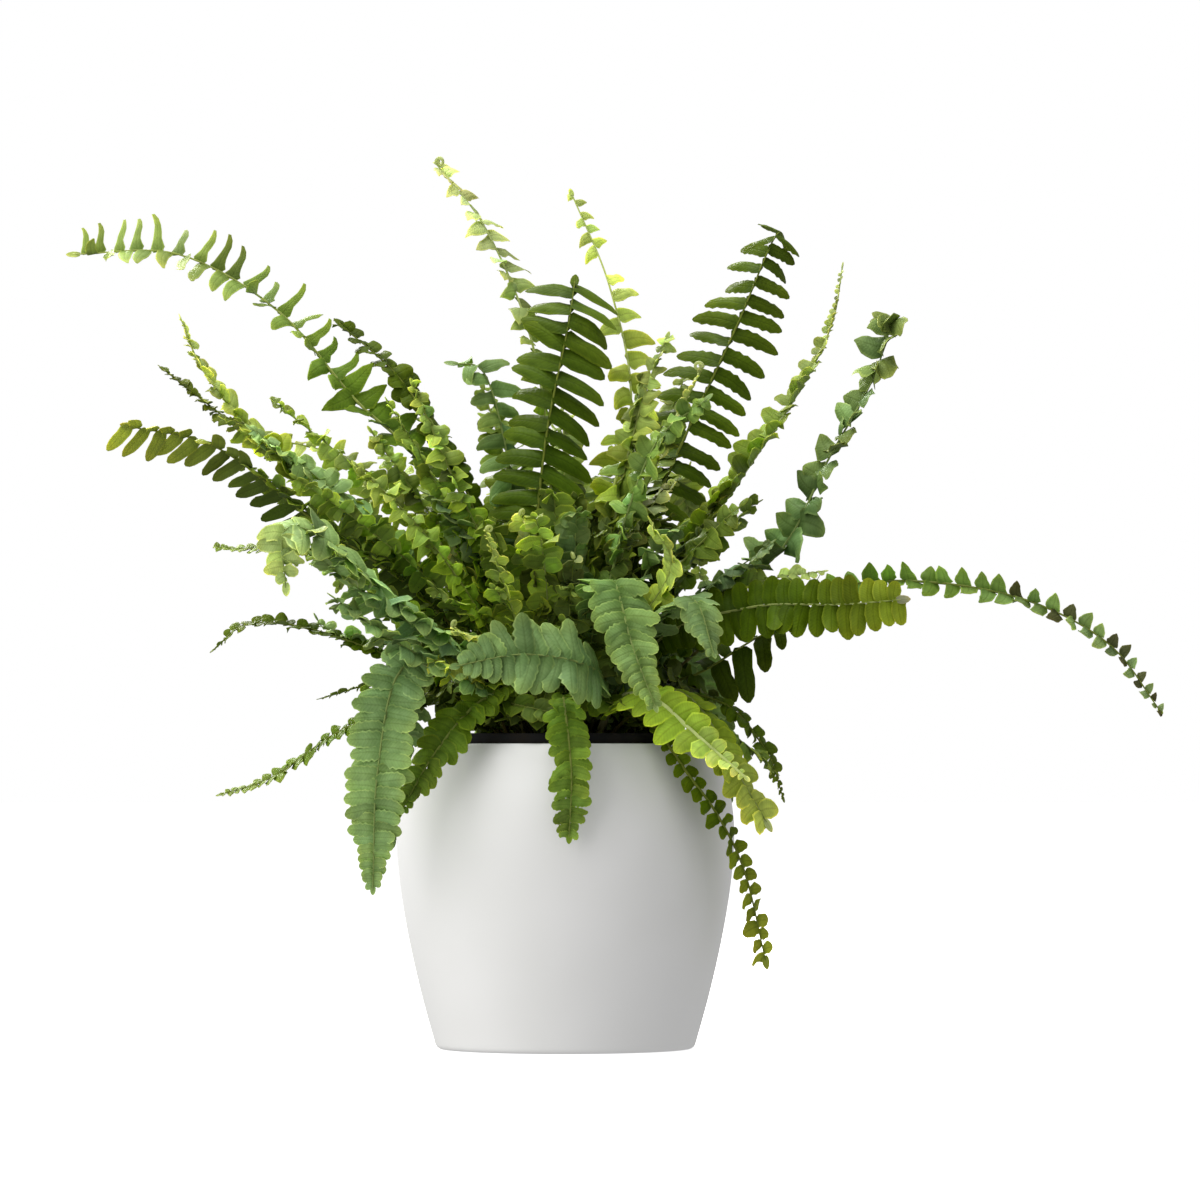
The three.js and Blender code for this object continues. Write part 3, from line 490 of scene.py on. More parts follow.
# %% Soil crumbs
CRUMBS, CRUMB_REACH = 620, 56
BIG_CRUMB, BIG_SHARE = 1.6, 0.08  # how much bigger a big one is, and how many are big
chance = random.Random(11)
rng = np.random.default_rng(11)


def any_turn():
    """A random turn as a 3x3 matrix."""
    axes, _ = np.linalg.qr(rng.normal(size=(3, 3)))
    return axes * np.sign(np.linalg.det(axes))


deselect()
bpy.ops.mesh.primitive_ico_sphere_add(subdivisions=1, radius=1)
edit_all()
bpy.ops.transform.resize(value=(1, 0.8, 0.6), center_override=(0, 0, 0))
bpy.ops.transform.vertex_random(offset=0.22, seed=5)
leave_edit()
crumb_points, crumb_faces = shape_arrays(bpy.context.object)

copies = []
for _ in range(CRUMBS):
    radius = CRUMB_REACH * math.sqrt(chance.random())
    angle = chance.uniform(0, 2 * math.pi)
    size = chance.uniform(0.5, 1.5) * (BIG_CRUMB if chance.random() < BIG_SHARE else 1.0)
    height = soil_height(radius) + 0.2 * size
    middle = np.array([radius * math.cos(angle), radius * math.sin(angle), height])
    copies.append(crumb_points * size @ any_turn().T + middle)
crumbs = joined_copies("soil_crumbs", copies, crumb_faces)
print("crumb faces:", finish_piece(crumbs, "soil", smooth=40))

# %% [markdown]
# Damp peat is nearly black, with lighter dry fibres. Fine noise breaks up both its colour and its
# surface, and it has almost no shine. The mound and the crumbs share one finish, so that the crumbs
# don't stand out from what they lie on.

# %% Soil finish
peat, tree, shader, place = new_material("damp_peat", Roughness=0.95, Specular_IOR_Level=0.2)
grain = noise(tree, place, 700, 6, 0.7)
patches = noise(tree, place, 90, 3)
dark = blend(tree, ease(tree, grain, 0.35, 0.7), (0.008, 0.005, 0.003, 1), (0.05, 0.03, 0.018, 1))
paint(tree, shader, blend(tree, ease(tree, patches, 0.55, 0.75, 0, 0.5), dark, (0.10, 0.062, 0.035, 1)))
bump(tree, shader, grain, 0.8, 0.0012)
give(peat, soil, crumbs)

# %% [markdown]
# ## Crown
# All the fronds grow from a short upright stem, which is covered in brown papery scales. The stem is
# pulled up like the pots and roughened. The scales could be a pattern on it, but real ones stand off and
# overlap, so one small pointed scale is modelled and copied round it in a spiral, as it grows.

# %% Crown stem
crown_outline = [(2, 99.5), (4.7, 99.5), (7.0, 110), (8.5, 123.5), (8.8, 128), (8.5, 132), (6.6, 135)]
crown = pull_rings("crown_stem", crown_outline + [(3.5, 136.6), (1, 137)], 24)
edit_all()
bpy.ops.mesh.subdivide(number_cuts=1)
bpy.ops.transform.vertex_random(offset=0.0006, seed=2)
leave_edit()
print("crown faces:", finish_piece(crown, "crown", "crown", smooth=50))

# %% Crown scales
GOLDEN_ANGLE = math.radians(137.508)  # the turn from one scale or frond to the next, as plants grow
SCALES = 150
LOWEST_SCALE, SCALES_RISE = 127, 9.5
STEM_RADIUS, STEM_ROUNDS_AT = 8.6, 131

deselect()
bpy.ops.mesh.primitive_cone_add(vertices=4, radius1=0.28, radius2=0.0, depth=1.0, location=(0, 0, 0.5))
bpy.ops.object.transform_apply(location=True)
edit_all()
bpy.ops.transform.resize(value=(1, 0.22, 1), center_override=(0, 0, 0))
leave_edit()
scale_points, scale_faces = shape_arrays(bpy.context.object)

copies = []
for i in range(SCALES):
    angle = i * GOLDEN_ANGLE
    height = LOWEST_SCALE + SCALES_RISE * i / SCALES
    radius = STEM_RADIUS - 5.4 * max(0.0, (height - STEM_ROUNDS_AT) / 6) ** 1.5
    out = np.array([math.cos(angle), math.sin(angle), 0.0])
    lean = chance.uniform(0.25, 0.8)
    up = out * math.sin(lean) + np.array([0, 0, math.cos(lean)])
    across = np.array([-out[1], out[0], 0.0])
    axes = np.column_stack([across, np.cross(up, across), up])
    size = chance.uniform(2.6, 4.6)
    copies.append(scale_points * size @ axes.T + out * (radius - 0.4) + [0, 0, height])
scales = joined_copies("crown_scales", copies, scale_faces)
print("scale faces:", finish_piece(scales, "crown"))

# %% [markdown]
# The scales are dry and papery, from dark brown to straw. Fine streaks of noise give both the colours
# and the fibres, where one brown all over would make them one lump.

# %% Crown finish
papery_brown, tree, shader, place = new_material("papery_brown_scale", Roughness=0.75)
streaks = noise(tree, place, 500, 4)
brown = blend(tree, ease(tree, streaks, 0.3, 0.7), (0.07, 0.035, 0.016, 1), (0.26, 0.15, 0.07, 1))
paint(tree, shader, brown)
bump(tree, shader, streaks, 0.5, 0.0005)
give(papery_brown, crown, scales)

# %% [markdown]
# ## One leaflet of each kind
# A sword fern's frond has two rows of leaflets. They differ from frond to frond: long blunt ones in
# full light, narrow curved fingers on the tall dark fronds, pointed teeth, fangs and lopsided lobes on
# the thin ones and small round ones deep in the bush. A picture of a leaf on a flat card would be
# quicker, but it has no edge and no bend. So each kind is modelled once: a grid is shaped row by row,
# with the ear that these leaflets have on the side of the tip, and given a thickness. It is 4 faces
# across, and 2 on the smallest kind, which is copied most. It lies along X from its root at 0 to its
# tip at 1, and it is about 1 wide.

# %% Leaflet kinds
# Rows are (place along the leaflet, upper edge, lower edge). They start just short of its root, inside
# the midrib.
LEAFLET_ROWS = {
    "oblong": [(-0.05, 0.30, -0.25), (0.04, 0.54, -0.40), (0.13, 0.58, -0.48), (0.22, 0.50, -0.43),
               (0.32, 0.57, -0.50), (0.42, 0.48, -0.43), (0.52, 0.55, -0.50), (0.62, 0.45, -0.41),
               (0.72, 0.50, -0.46), (0.83, 0.38, -0.35), (0.92, 0.31, -0.28), (1, 0.08, -0.06)],
    "finger": [(-0.04, 0.34, -0.22), (0.06, 0.56, -0.36), (0.20, 0.54, -0.44), (0.38, 0.49, -0.46),
               (0.56, 0.47, -0.45), (0.74, 0.42, -0.42), (0.90, 0.30, -0.31), (1, 0.08, -0.10)],
    "fang": [(-0.04, 0.34, -0.30), (0.07, 0.56, -0.48), (0.18, 0.42, -0.38), (0.32, 0.29, -0.31),
             (0.50, 0.17, -0.34), (0.68, 0.09, -0.35), (0.86, 0.14, -0.22), (1, 0.24, 0.04)],
    "tooth": [(-0.04, 0.36, -0.30), (0.07, 0.64, -0.46), (0.22, 0.56, -0.51), (0.40, 0.50, -0.46),
              (0.58, 0.38, -0.37), (0.76, 0.28, -0.25), (0.91, 0.14, -0.12), (1, 0.03, -0.03)],
    "lobe": [(-0.04, 0.40, -0.38), (0.08, 0.54, -0.50), (0.28, 0.50, -0.46), (0.48, 0.44, -0.46),
             (0.68, 0.32, -0.46), (0.84, 0.14, -0.44), (0.95, -0.10, -0.42), (1, -0.24, -0.38)],
    "round": [(-0.04, 0.36, -0.28), (0.08, 0.56, -0.42), (0.27, 0.54, -0.50), (0.47, 0.58, -0.55),
              (0.67, 0.45, -0.45), (0.84, 0.37, -0.34), (0.96, 0.17, -0.17), (1, 0.06, -0.06)],
    "small": [(-0.04, 0.34, -0.28), (0.22, 0.57, -0.48), (0.52, 0.55, -0.53), (0.82, 0.38, -0.36),
              (1, 0.08, -0.08)],
}
CELLS_ACROSS, CELLS_ACROSS_SMALL = 4, 2
ASIDE = 3  # shaped rows are moved this far aside, so that the next pick can't take them again


def model_leaflet(name, rows, cells_across):
    """One leaflet, shaped row by row in edit mode and then thickened. Returns its arrays for copying."""
    deselect()
    cells = len(rows) - 1
    bpy.ops.mesh.primitive_grid_add(x_subdivisions=cells, y_subdivisions=cells_across, size=1)
    leaflet = bpy.context.object
    leaflet.name = name
    bpy.ops.object.mode_set(mode="EDIT")
    bpy.ops.mesh.select_mode(type="VERT")
    for i, (along, upper, lower) in reversed(list(enumerate(rows))):
        column = i / cells - 0.5
        pick(lambda co: abs(co.x - column) < 0.01)
        bpy.ops.transform.resize(value=(1, upper - lower, 1), center_override=(0, 0, 0))
        bpy.ops.transform.translate(value=(along - column + ASIDE, (upper + lower) / 2, 0))
    bpy.ops.mesh.select_all(action="SELECT")
    bpy.ops.transform.translate(value=(-ASIDE, 0, 0))
    leave_edit()
    thicken = leaflet.modifiers.new("thickness", "SOLIDIFY")
    thicken.thickness, thicken.offset = 1.0, 0.0
    bpy.ops.object.modifier_apply(modifier=thicken.name)
    points, faces = shape_arrays(leaflet)
    # Each point's place across its row, from -1 at the lower edge to 1 at the upper one.
    edges = np.array(rows)
    upper = np.interp(points[:, 0], edges[:, 0], edges[:, 1])
    lower = np.interp(points[:, 0], edges[:, 0], edges[:, 2])
    across = (2 * points[:, 1] - upper - lower) / (upper - lower)
    return {"points": points, "faces": np.array(faces), "across": across}


leaflets = {}
for kind, rows in LEAFLET_ROWS.items():
    cells_across = CELLS_ACROSS_SMALL if kind == "small" else CELLS_ACROSS
    shape = leaflets[kind] = model_leaflet("leaflet_" + kind, rows, cells_across)
    print(kind, len(shape["points"]), "points", len(shape["faces"]), "faces")

# %% [markdown]
# ## The fronds' table
# Each row names a frond of the solid model. The path holds the points that its midrib passes, tone is its
# green, leaf is the length of its longest leaflets, twist turns the blade about its midrib at the foot
# and at the tip, and fold lifts the two rows towards each other. They start from the solid model's own
# numbers, in millimetres and degrees. Where a frond didn't look right beside a real one they were tuned,
# so six midribs leave their solids, by about 20 mm at most. The other words are for looks only, and USUAL
# says what each of them means. Fronds could also be drawn by hand one by one, but in a table each can be
# changed without touching the others.

# %% What is usual for a frond
USUAL = dict(
    kind="round",  # the leaflets' kind, or two kinds for the two rows
    pitch=6.5,  # millimetres between leaflets of a row
    width=1.35,  # a leaflet's width against the pitch
    broad_foot=1.0,  # how much broader the lowest leaflets are
    low_size=0.5,  # how long the lowest leaflets are, as a share of the longest ones
    rows=(1.0, 1.0),  # the two rows' lengths
    taper=(0.58, 1.12),  # where along the leafy stretch the leaflets start and stop getting shorter
    bare=0.5,  # where the first leaflets stand, as a share of the solid model's bare stalk
    sweep=(12, 12),  # degrees that each row leans towards the tip
    missing=0.0,  # how many leaflets are missing
    louvre=10,  # degrees that they are turned to face the frond's tip
    curl=16,  # degrees that they bend down along their length
    hook=0.08,  # how far their tips reach towards the frond's tip, as a share of their length
    cup=0.13,  # how far their edges bend down
    sag=0.12,  # how far they hang, as a share of their length
    ruffle=1.0,  # how uneven they are
    # light holds the frond's own green together with painted light and shade, lower where the bush shades
    # it
    light=1.0,  # how light the frond is
    tip=0.2,  # how far it pales towards its tip
    pale_from=0.35,  # where along the leafy stretch that starts
    tint=(1, 1, 1),  # its own tint of the tone's green
    low_kind=None,  # another kind of leaflet for its lower half
    rib=0.25,  # how pale its midrib is
    spots=0.0,  # how many leaflets near its tip are scorched
    stalk=1.0,  # how thick its stalk is
    coil=0.0,  # radius of the coil that a young frond ends in
    tuft=0,  # how many more leaflets are crowded at its tip
)

# %% Fronds seen from the front
# Four of them fill the left of the bush and have this in common.
LEFT_MID = dict(tone="mid", leaf=8.4, pitch=4.6, width=1.45, ruffle=3.0, curl=26, cup=0.16,
                taper=(0.7, 1.2), light=1.32, tip=0.45)
FRONDS = [
    dict(name="front_broad", tone="blue", leaf=18.5, twist=(-66, -70), fold=(4, 4), kind="oblong",
         pitch=6.2, width=1.45, louvre=14, curl=12, cup=0.22, sag=0.03, light=0.93, tip=0.05,
         path=[(17, -44, 158), (8, -76, 168), (-18, -92, 172), (-46, -97, 167)]),
    dict(name="front_centre_hanging", tone="blue", leaf=15, twist=(0, 4), fold=(4, 4), kind="oblong",
         pitch=5.6, width=1.5, louvre=14, curl=14, cup=0.2, sag=0.06, light=0.95, tip=0.45,
         tint=(0.95, 1, 0.85), path=[(15, -36, 188), (21, -58, 204), (29, -79, 176), (39, -88, 149)]),
    dict(name="front_yellow", tone="yellow", leaf=13, twist=(30, 38), fold=(10, 10), pitch=8.2,
         width=1.08, low_size=0.95, rows=(0.85, 1.0), taper=(0.45, 1.08), sweep=(18, -6), curl=10,
         cup=0.16, light=1.25, tip=1.0, pale_from=0.45, tint=(0.93, 1, 0.8), rib=1.0, stalk=1.9,
         path=[(22, -40, 152), (37, -66, 154), (55, -79, 139), (78, -82, 119)]),
    dict(name="front_left_hanging", tone="blue", leaf=15, twist=(-26, -28), fold=(3, 3), kind="oblong",
         pitch=5.1, width=1.5, taper=(0.66, 1.1), sweep=(4, 4), louvre=8, curl=5, hook=0.02, cup=0.18,
         sag=0.02, path=[(-42, -46, 166), (-70, -68, 166), (-80, -79, 122), (-82, -80, 71)]),
    dict(name="front_centre_low", tone="mid", leaf=9.5, twist=(0, 0), fold=(5, 5), kind="oblong",
         pitch=4.2, width=1.4, taper=(0.7, 1.2), sweep=(14, 14), curl=12, hook=0.14, sag=0.03,
         ruffle=1.8, light=1.25, tip=0.1, tint=(1, 1, 1.5),
         path=[(-1, -42, 152), (0, -72, 150), (3, -84, 122), (2, -84, 94)]),
    dict(name="front_left_low", tone="mid", leaf=10.5, twist=(-20, -30), fold=(4, 4), pitch=5.0,
         width=1.5, curl=12, hook=0.16, sag=0.04, ruffle=1.8,
         path=[(-18, -42, 158), (-38, -60, 151), (-57, -69, 128), (-71, -71, 103)]),
    dict(name="centre_big", tone="deep", leaf=21.5, twist=(35, 35), fold=(-8, -8), kind="finger",
         pitch=8.7, width=1.1, taper=(0.93, 1.7), sweep=(27, 6), louvre=18, curl=30, hook=-0.25,
         cup=0.2, sag=0.04, light=0.92, tip=0.1, tint=(0.95, 1, 1.2),
         path=[(-14, -4, 205), (-9, 5, 266), (1, 13, 318), (4, 24, 339)]),
    dict(name="right_front", tone="fresh", leaf=14.5, twist=(54, 76), fold=(0, 0), kind="finger",
         pitch=6.2, width=1.32, rows=(0.85, 1.0), taper=(0.8, 1.35), sweep=(3, 3), louvre=14, curl=6,
         hook=0.02, cup=0.16, sag=0.0, light=0.36, tip=1.7, pale_from=0.6, tint=(0.82, 1, 0.12),
         path=[(40, -22, 178), (80, -40, 193), (118, -52, 194), (145, -57, 196)]),
    dict(name="right_long", tone="mid", leaf=7.8, twist=(40, 70), fold=(10, 36), kind=("tooth", "lobe"),
         pitch=8.2, width=1.0, taper=(0.6, 1.22), sweep=(4, 4), curl=10, hook=-0.2, sag=0.03,
         ruffle=1.6, light=1.25, tip=0.3, tint=(1.0, 1, 2.5), spots=0.9,
         path=[(62, 8, 178), (125, 12, 204), (190, 12, 201), (237, 8, 180), (263, 4, 147)]),
    dict(name="right_upper", tone="blue", leaf=13, twist=(24, 34), fold=(38, 42),
         kind=("tooth", "lobe"), pitch=8.8, width=1.25, broad_foot=1.3, taper=(1.0, 1.6), louvre=8,
         curl=36, hook=0.14, cup=0.26, ruffle=2.8, light=0.62, tip=0.4, tint=(1.0, 1, 0.75), tuft=5,
         path=[(48, -8, 184), (93, -12, 217), (115, -14, 258), (134, -14, 292), (143, -14, 318)]),
    dict(name="right_light_thin", tone="fresh", leaf=13, twist=(6, 10), fold=(40, 40), pitch=6.0,
         width=1.45, taper=(0.42, 1.0), ruffle=1.8, light=0.95, tip=0.6, rib=0.8,
         path=[(46, 16, 204), (76, 20, 249), (104, 22, 291), (118, 22, 320), (123, 22, 347)]),
    dict(name="right_dark_arch", tone="deep", leaf=21, twist=(44, 44), fold=(-14, -14), kind="oblong",
         pitch=9.6, width=0.78, rows=(1.05, 0.95), taper=(0.6, 1.25), sweep=(4, 14), louvre=14, curl=20,
         hook=-0.12, sag=0.1, ruffle=1.1, light=0.8, tip=0.1,
         path=[(26, 28, 206), (50, 46, 264), (76, 60, 320), (94, 68, 362), (100, 88, 360)]),
    dict(name="centre_light_thin", tone="yellow", leaf=12.5, twist=(0, 0), fold=(20, 24), kind="lobe",
         pitch=11, width=0.85, taper=(0.45, 1.2), missing=0.22, curl=26, hook=-0.15, ruffle=2.0,
         light=1.08, tip=0.5, pale_from=0.25, tint=(1.0, 0.97, 0.95), rib=0.8,
         path=[(16, 20, 222), (29, 32, 284), (20, 38, 336), (2, 44, 381)]),
    dict(name="top_left_light", tone="fresh", leaf=11, twist=(0, 0), fold=(14, 14),
         kind=("tooth", "lobe"), pitch=8.2, width=1.0, taper=(0.75, 1.2), missing=0.05, curl=34,
         hook=-0.2, sag=0.25, ruffle=2.0, tip=1.0, rib=0.8, coil=2.2,
         path=[(-5, 24, 222), (-13, 44, 304), (-34, 54, 361), (-58, 62, 394)]),
    dict(name="left_long", tone="mid", leaf=16, twist=(-20, -42), fold=(16, 36), kind=("lobe", "fang"),
         low_kind="tooth", pitch=9.0, width=0.75, broad_foot=1.6, rows=(1.2, 1.0), taper=(0.8, 1.25),
         sweep=(10, 14), curl=14, hook=-0.1, sag=0.0, ruffle=1.5, light=0.95, tip=0.6, pale_from=0.25,
         tint=(0.95, 1, 1.1), rib=0.8,
         path=[(-52, 8, 240), (-94, 14, 287), (-128, 18, 326), (-172, 22, 351), (-219, 22, 351)]),
    dict(name="left_dark_broad", tone="deep", leaf=14.5, twist=(40, 46), fold=(-8, -8), kind="finger",
         pitch=7.4, width=0.86, rows=(0.7, 1.0), taper=(0.85, 1.6), sweep=(20, 30), louvre=6, curl=30,
         hook=0.14, ruffle=1.2, light=0.66, tip=1.7, pale_from=0.55, tint=(0.93, 1, 0.7),
         path=[(-52, -18, 188), (-112, -30, 233), (-152, -34, 263), (-190, -36, 272)]),
    dict(name="left_pale", tone="yellow", leaf=13, twist=(-10, -10), fold=(16, 16), pitch=5.8,
         width=1.5, taper=(0.62, 1.15), ruffle=1.8, light=1.05, tip=0.6,
         path=[(-57, -2, 196), (-112, -8, 246), (-155, -12, 292), (-169, -12, 321)]),
    dict(name="left_near", tone="blue", leaf=17, twist=(-24, -30), fold=(6, 6), pitch=6.6, width=1.4,
         taper=(0.66, 1.15), curl=24, ruffle=2.0, light=1.08, tip=1.0, pale_from=0.6,
         path=[(-44, -50, 174), (-78, -78, 200), (-103, -98, 222), (-119, -106, 224), (-118, -110, 200)]),
    dict(name="left_inner_curl", tone="deep", leaf=8, twist=(-20, -20), fold=(24, 24), pitch=5.6,
         width=1.5, taper=(0.75, 1.3), curl=36, ruffle=1.8, light=0.8, tip=0.1,
         path=[(-40, 14, 235), (-70, 22, 291), (-101, 28, 321)]),
    dict(name="left_low_dark", tone="deep", leaf=12, twist=(0, 0), fold=(14, 14), kind="tooth",
         pitch=5.6, width=1.4, taper=(0.55, 1.2), curl=24, ruffle=2.0, light=0.85, tip=0.3,
         path=[(-60, 30, 205), (-120, 38, 254), (-181, 42, 302)]),
    dict(name="left_pale_back", tone="yellow", leaf=14, twist=(-34, -40), fold=(14, 14),
         kind=("tooth", "lobe"), pitch=6.2, width=0.8, rows=(1.3, 0.6), taper=(0.7, 1.2), sweep=(4, 4),
         hook=-0.1, ruffle=2.2, light=0.9, tip=0.5,
         path=[(-50, 20, 214), (-92, 25, 257), (-142, 27, 272)]),
    dict(name="left_thin_high", tone="mid", leaf=7.5, twist=(-20, -20), fold=(18, 18), kind="tooth",
         pitch=5.0, taper=(0.7, 1.2), path=[(-60, 44, 186), (-105, 54, 217), (-157, 60, 222)]),
    dict(name="left_thin_mid", tone="deep", leaf=6, twist=(-20, -20), fold=(16, 16), pitch=5.0,
         width=1.1, taper=(0.7, 1.2), ruffle=1.5,
         path=[(-50, 6, 158), (-104, 10, 182), (-139, 12, 187), (-156, 12, 175)]),
    dict(name="left_stub", tone="deep", leaf=5, twist=(0, 0), fold=(16, 16), pitch=4.6,
         taper=(0.7, 1.2), path=[(-48, 28, 154), (-80, 32, 161), (-109, 33, 154)]),
    dict(name="left_low_thin", tone="mid", leaf=6.5, twist=(-30, -30), fold=(12, 12), kind="tooth",
         pitch=4.6, width=1.5, taper=(0.7, 1.15), tip=0.3,
         path=[(-54, 38, 152), (-96, 44, 142), (-131, 47, 119), (-155, 47, 111)]),
    dict(name="right_hanging_dark", tone="deep", leaf=6.2, twist=(44, 40), fold=(8, 8), pitch=6.8,
         taper=(0.97, 2.0), ruffle=1.5, light=1.3, tip=0.7, tint=(1.05, 1, 0.6),
         path=[(31, -42, 147), (41, -55, 138), (53, -60, 121), (66, -57, 103), (78, -46, 78),
               (87, -36, 40)]),
    dict(name="right_hanging_light", tone="fresh", leaf=10, twist=(16, 20), fold=(4, 4), pitch=6.0,
         width=1.45, taper=(0.9, 1.5), light=1.05, tip=0.9, tint=(1.0, 1, 0.5),
         path=[(42, -34, 156), (58, -50, 150), (72, -58, 126), (87, -58, 100)]),
    dict(name="right_low_dark", tone="deep", leaf=6, twist=(20, 20), fold=(8, 8), pitch=4.6, ruffle=1.5,
         light=1.2, path=[(42, -14, 154), (70, -22, 151), (88, -27, 130), (95, -28, 110)]),
    dict(name="right_dark_leaflets", tone="deep", leaf=19, twist=(56, 60), fold=(4, 4), kind="finger",
         pitch=11.5, width=0.85, low_size=0.9, rows=(0.45, 1.1), taper=(0.45, 0.95), sweep=(12, -8),
         sag=0.3, ruffle=2.0, light=0.75,
         path=[(38, 10, 156), (61, 14, 166), (85, 17, 181), (109, 18, 191)]),
    dict(name="right_top_light", tone="fresh", leaf=10, twist=(20, 24), fold=(18, 18), pitch=6.0,
         ruffle=1.8, tip=0.4, path=[(50, -14, 186), (84, -26, 204), (113, -32, 209)]),
    dict(name="centre_left_blue", tone="blue", leaf=13, twist=(-60, -30), fold=(4, 10), kind="finger",
         pitch=9.5, width=0.85, taper=(0.8, 1.3), louvre=12, curl=45, hook=-0.2, ruffle=2.2, light=0.72,
         tint=(0.95, 1, 0.8), path=[(-18, 14, 206), (-26, 20, 262), (-36, 24, 298), (-50, 26, 303)]),
    dict(name="left_mid_upright", **LEFT_MID, twist=(-56, -60), fold=(8, 8), kind=("tooth", "round"),
         path=[(-26, -14, 196), (-50, -20, 252), (-67, -20, 292)]),
    dict(name="left_mid_outer", **LEFT_MID, twist=(-46, -52), fold=(8, 8), kind="tooth",
         path=[(-34, -30, 184), (-62, -42, 226), (-91, -46, 255)]),
    dict(name="left_mid_back", **LEFT_MID, twist=(-30, -36), fold=(12, 12), kind=("round", "tooth"),
         path=[(-32, -4, 196), (-62, -4, 238), (-86, -2, 272)]),
    dict(name="left_mid_low", **LEFT_MID, twist=(-30, -36), fold=(8, 8), kind=("tooth", "round"),
         path=[(-44, -32, 172), (-82, -46, 198), (-107, -54, 226)]),
    dict(name="right_centre_blue", tone="blue", leaf=10.5, twist=(50, 60), fold=(6, 6), pitch=5.4,
         taper=(0.7, 1.2), curl=24, ruffle=3.0, light=0.72, tint=(0.95, 1, 0.55),
         path=[(20, -22, 206), (38, -34, 262), (62, -40, 284)]),
    dict(name="right_centre_mid", tone="mid", leaf=11.5, twist=(46, 56), fold=(8, 8), kind="tooth",
         taper=(0.7, 1.2), curl=24, cup=0.16, ruffle=2.6, light=0.72,
         path=[(28, -26, 186), (54, -36, 216), (77, -40, 238)]),
    dict(name="right_front_blue", tone="blue", leaf=14, twist=(10, 10), fold=(4, 4), kind="oblong",
         pitch=6.2, width=1.5, light=0.9, path=[(36, -42, 182), (55, -64, 196), (64, -80, 172)]),
    dict(name="centre_right_light", tone="fresh", leaf=11.5, twist=(20, 20), fold=(18, 18),
         kind="tooth", pitch=6.4, taper=(0.6, 1.2), curl=24, ruffle=2.6, tip=0.4,
         path=[(20, 4, 222), (33, 10, 282), (45, 12, 314)]),
    dict(name="young_centre", tone="yellow", leaf=9, twist=(-30, -30), fold=(20, 20), pitch=4.6,
         ruffle=1.5, tip=0.6, coil=1.6, path=[(-20, -40, 184), (-34, -54, 226)]),
    dict(name="young_left", tone="yellow", leaf=9, twist=(-20, -20), fold=(20, 20), pitch=4.6,
         ruffle=1.5, tip=0.6, coil=1.6, path=[(-30, -52, 170), (-48, -78, 184)]),
    dict(name="young_right", tone="fresh", leaf=8, twist=(20, 20), fold=(28, 28), pitch=5.0, ruffle=1.5,
         tip=0.9, coil=2.0, path=[(22, -12, 206), (43, -18, 264), (60, -20, 298)]),
    dict(name="young_yellow", tone="yellow", leaf=11, twist=(40, 50), fold=(10, 10), pitch=5.2,
         taper=(0.7, 1.3), ruffle=1.5, tip=0.5, path=[(30, -44, 182), (46, -56, 210), (38, -62, 228)]),
]
print("fronds in the table:", len(FRONDS))

# %% [markdown]
# The fronds at the back follow a rule: three kinds, upright, arching and hanging, each with four
# headings. The rule draws from the same small repeatable sequence as the solid model, so that each
# midrib comes out where its solid stands. They could be listed one by one too, but they only have to
# look well as a group. The further draws, from this notebook's own chance, make no two of them alike.

# %% Fronds at the back
BACK_KINDS = [
    dict(name="upright", tone="mid", leaf=16, fold=10, kind="finger", light=0.95,
         headings=(54, 70, 91, 114), points=((30, 196), (62, 250), (94, 288))),
    dict(name="arching", tone="fresh", leaf=14, fold=12, kind="round", light=0.75,
         headings=(72, 86, 100, 124), points=((44, 190), (98, 234), (160, 246), (198, 214))),
    dict(name="hanging", tone="blue", leaf=15, fold=4, kind="oblong", light=0.9,
         headings=(56, 79, 106, 131), points=((50, 172), (96, 180), (120, 132), (124, 90))),
]
BACK_JITTER = 0.05  # how far their reach and their height vary, as a share


def repeatable(state):
    """Numbers from 0 to 1, the same ones each time, as a simple congruential generator gives them."""
    while True:
        state = (state * 1664525 + 1013904223) % 2**32
        yield state / 2**32


def back_path(row, heading, draws):
    """The points that the midrib of a back frond passes."""
    angle = math.radians(heading)
    spread = 1 + BACK_JITTER * (2 * next(draws) - 1)
    return [(reach * spread * math.cos(angle), reach * spread * math.sin(angle),
             height * (1 + BACK_JITTER * (2 * next(draws) - 1))) for reach, height in row["points"]]


def back_fronds():
    draws = repeatable(7)
    made = []
    for row in BACK_KINDS:
        for number, heading in enumerate(row["headings"], 1):
            path = back_path(row, heading, draws)
            turn, fold = chance.uniform(-22, 22), row["fold"] + chance.uniform(-2, 8)
            made.append(dict(
                name=f"back_{row['name']}_{number}", tone=row["tone"], kind=row["kind"], path=path,
                leaf=row["leaf"] * chance.uniform(0.72, 1.05), twist=(turn, turn), fold=(fold, fold),
                pitch=chance.uniform(5.6, 7.8), taper=(chance.uniform(0.45, 0.8), 1.15),
                curl=chance.uniform(10, 26), hook=chance.uniform(0, 0.16), ruffle=1.8,
                light=row["light"] * chance.uniform(0.8, 1.15), tip=chance.uniform(0.1, 0.6)))
    return made


all_fronds = [{**USUAL, **row} for row in FRONDS + back_fronds()]
print("with the back:", len(all_fronds))

# %% [markdown]
# ## Midribs
# A midrib is a smooth curve through its points that leaves the soil upright. The curve is worked out
# here rather than drawn as a Blender curve, because the leaflets need its direction and its sideways
# vector at every place. The foot is found on the solid frond, so that both stand in the same hole.

# %% Midrib curves
STEPS = 40  # points on each span of the curve
STALK_FOOT = 120.5  # where every stalk ends in the soil
FOOT_DEPTH, CROWN_REACH = 0.02, 45  # the foot's points lie this level and this near the middle


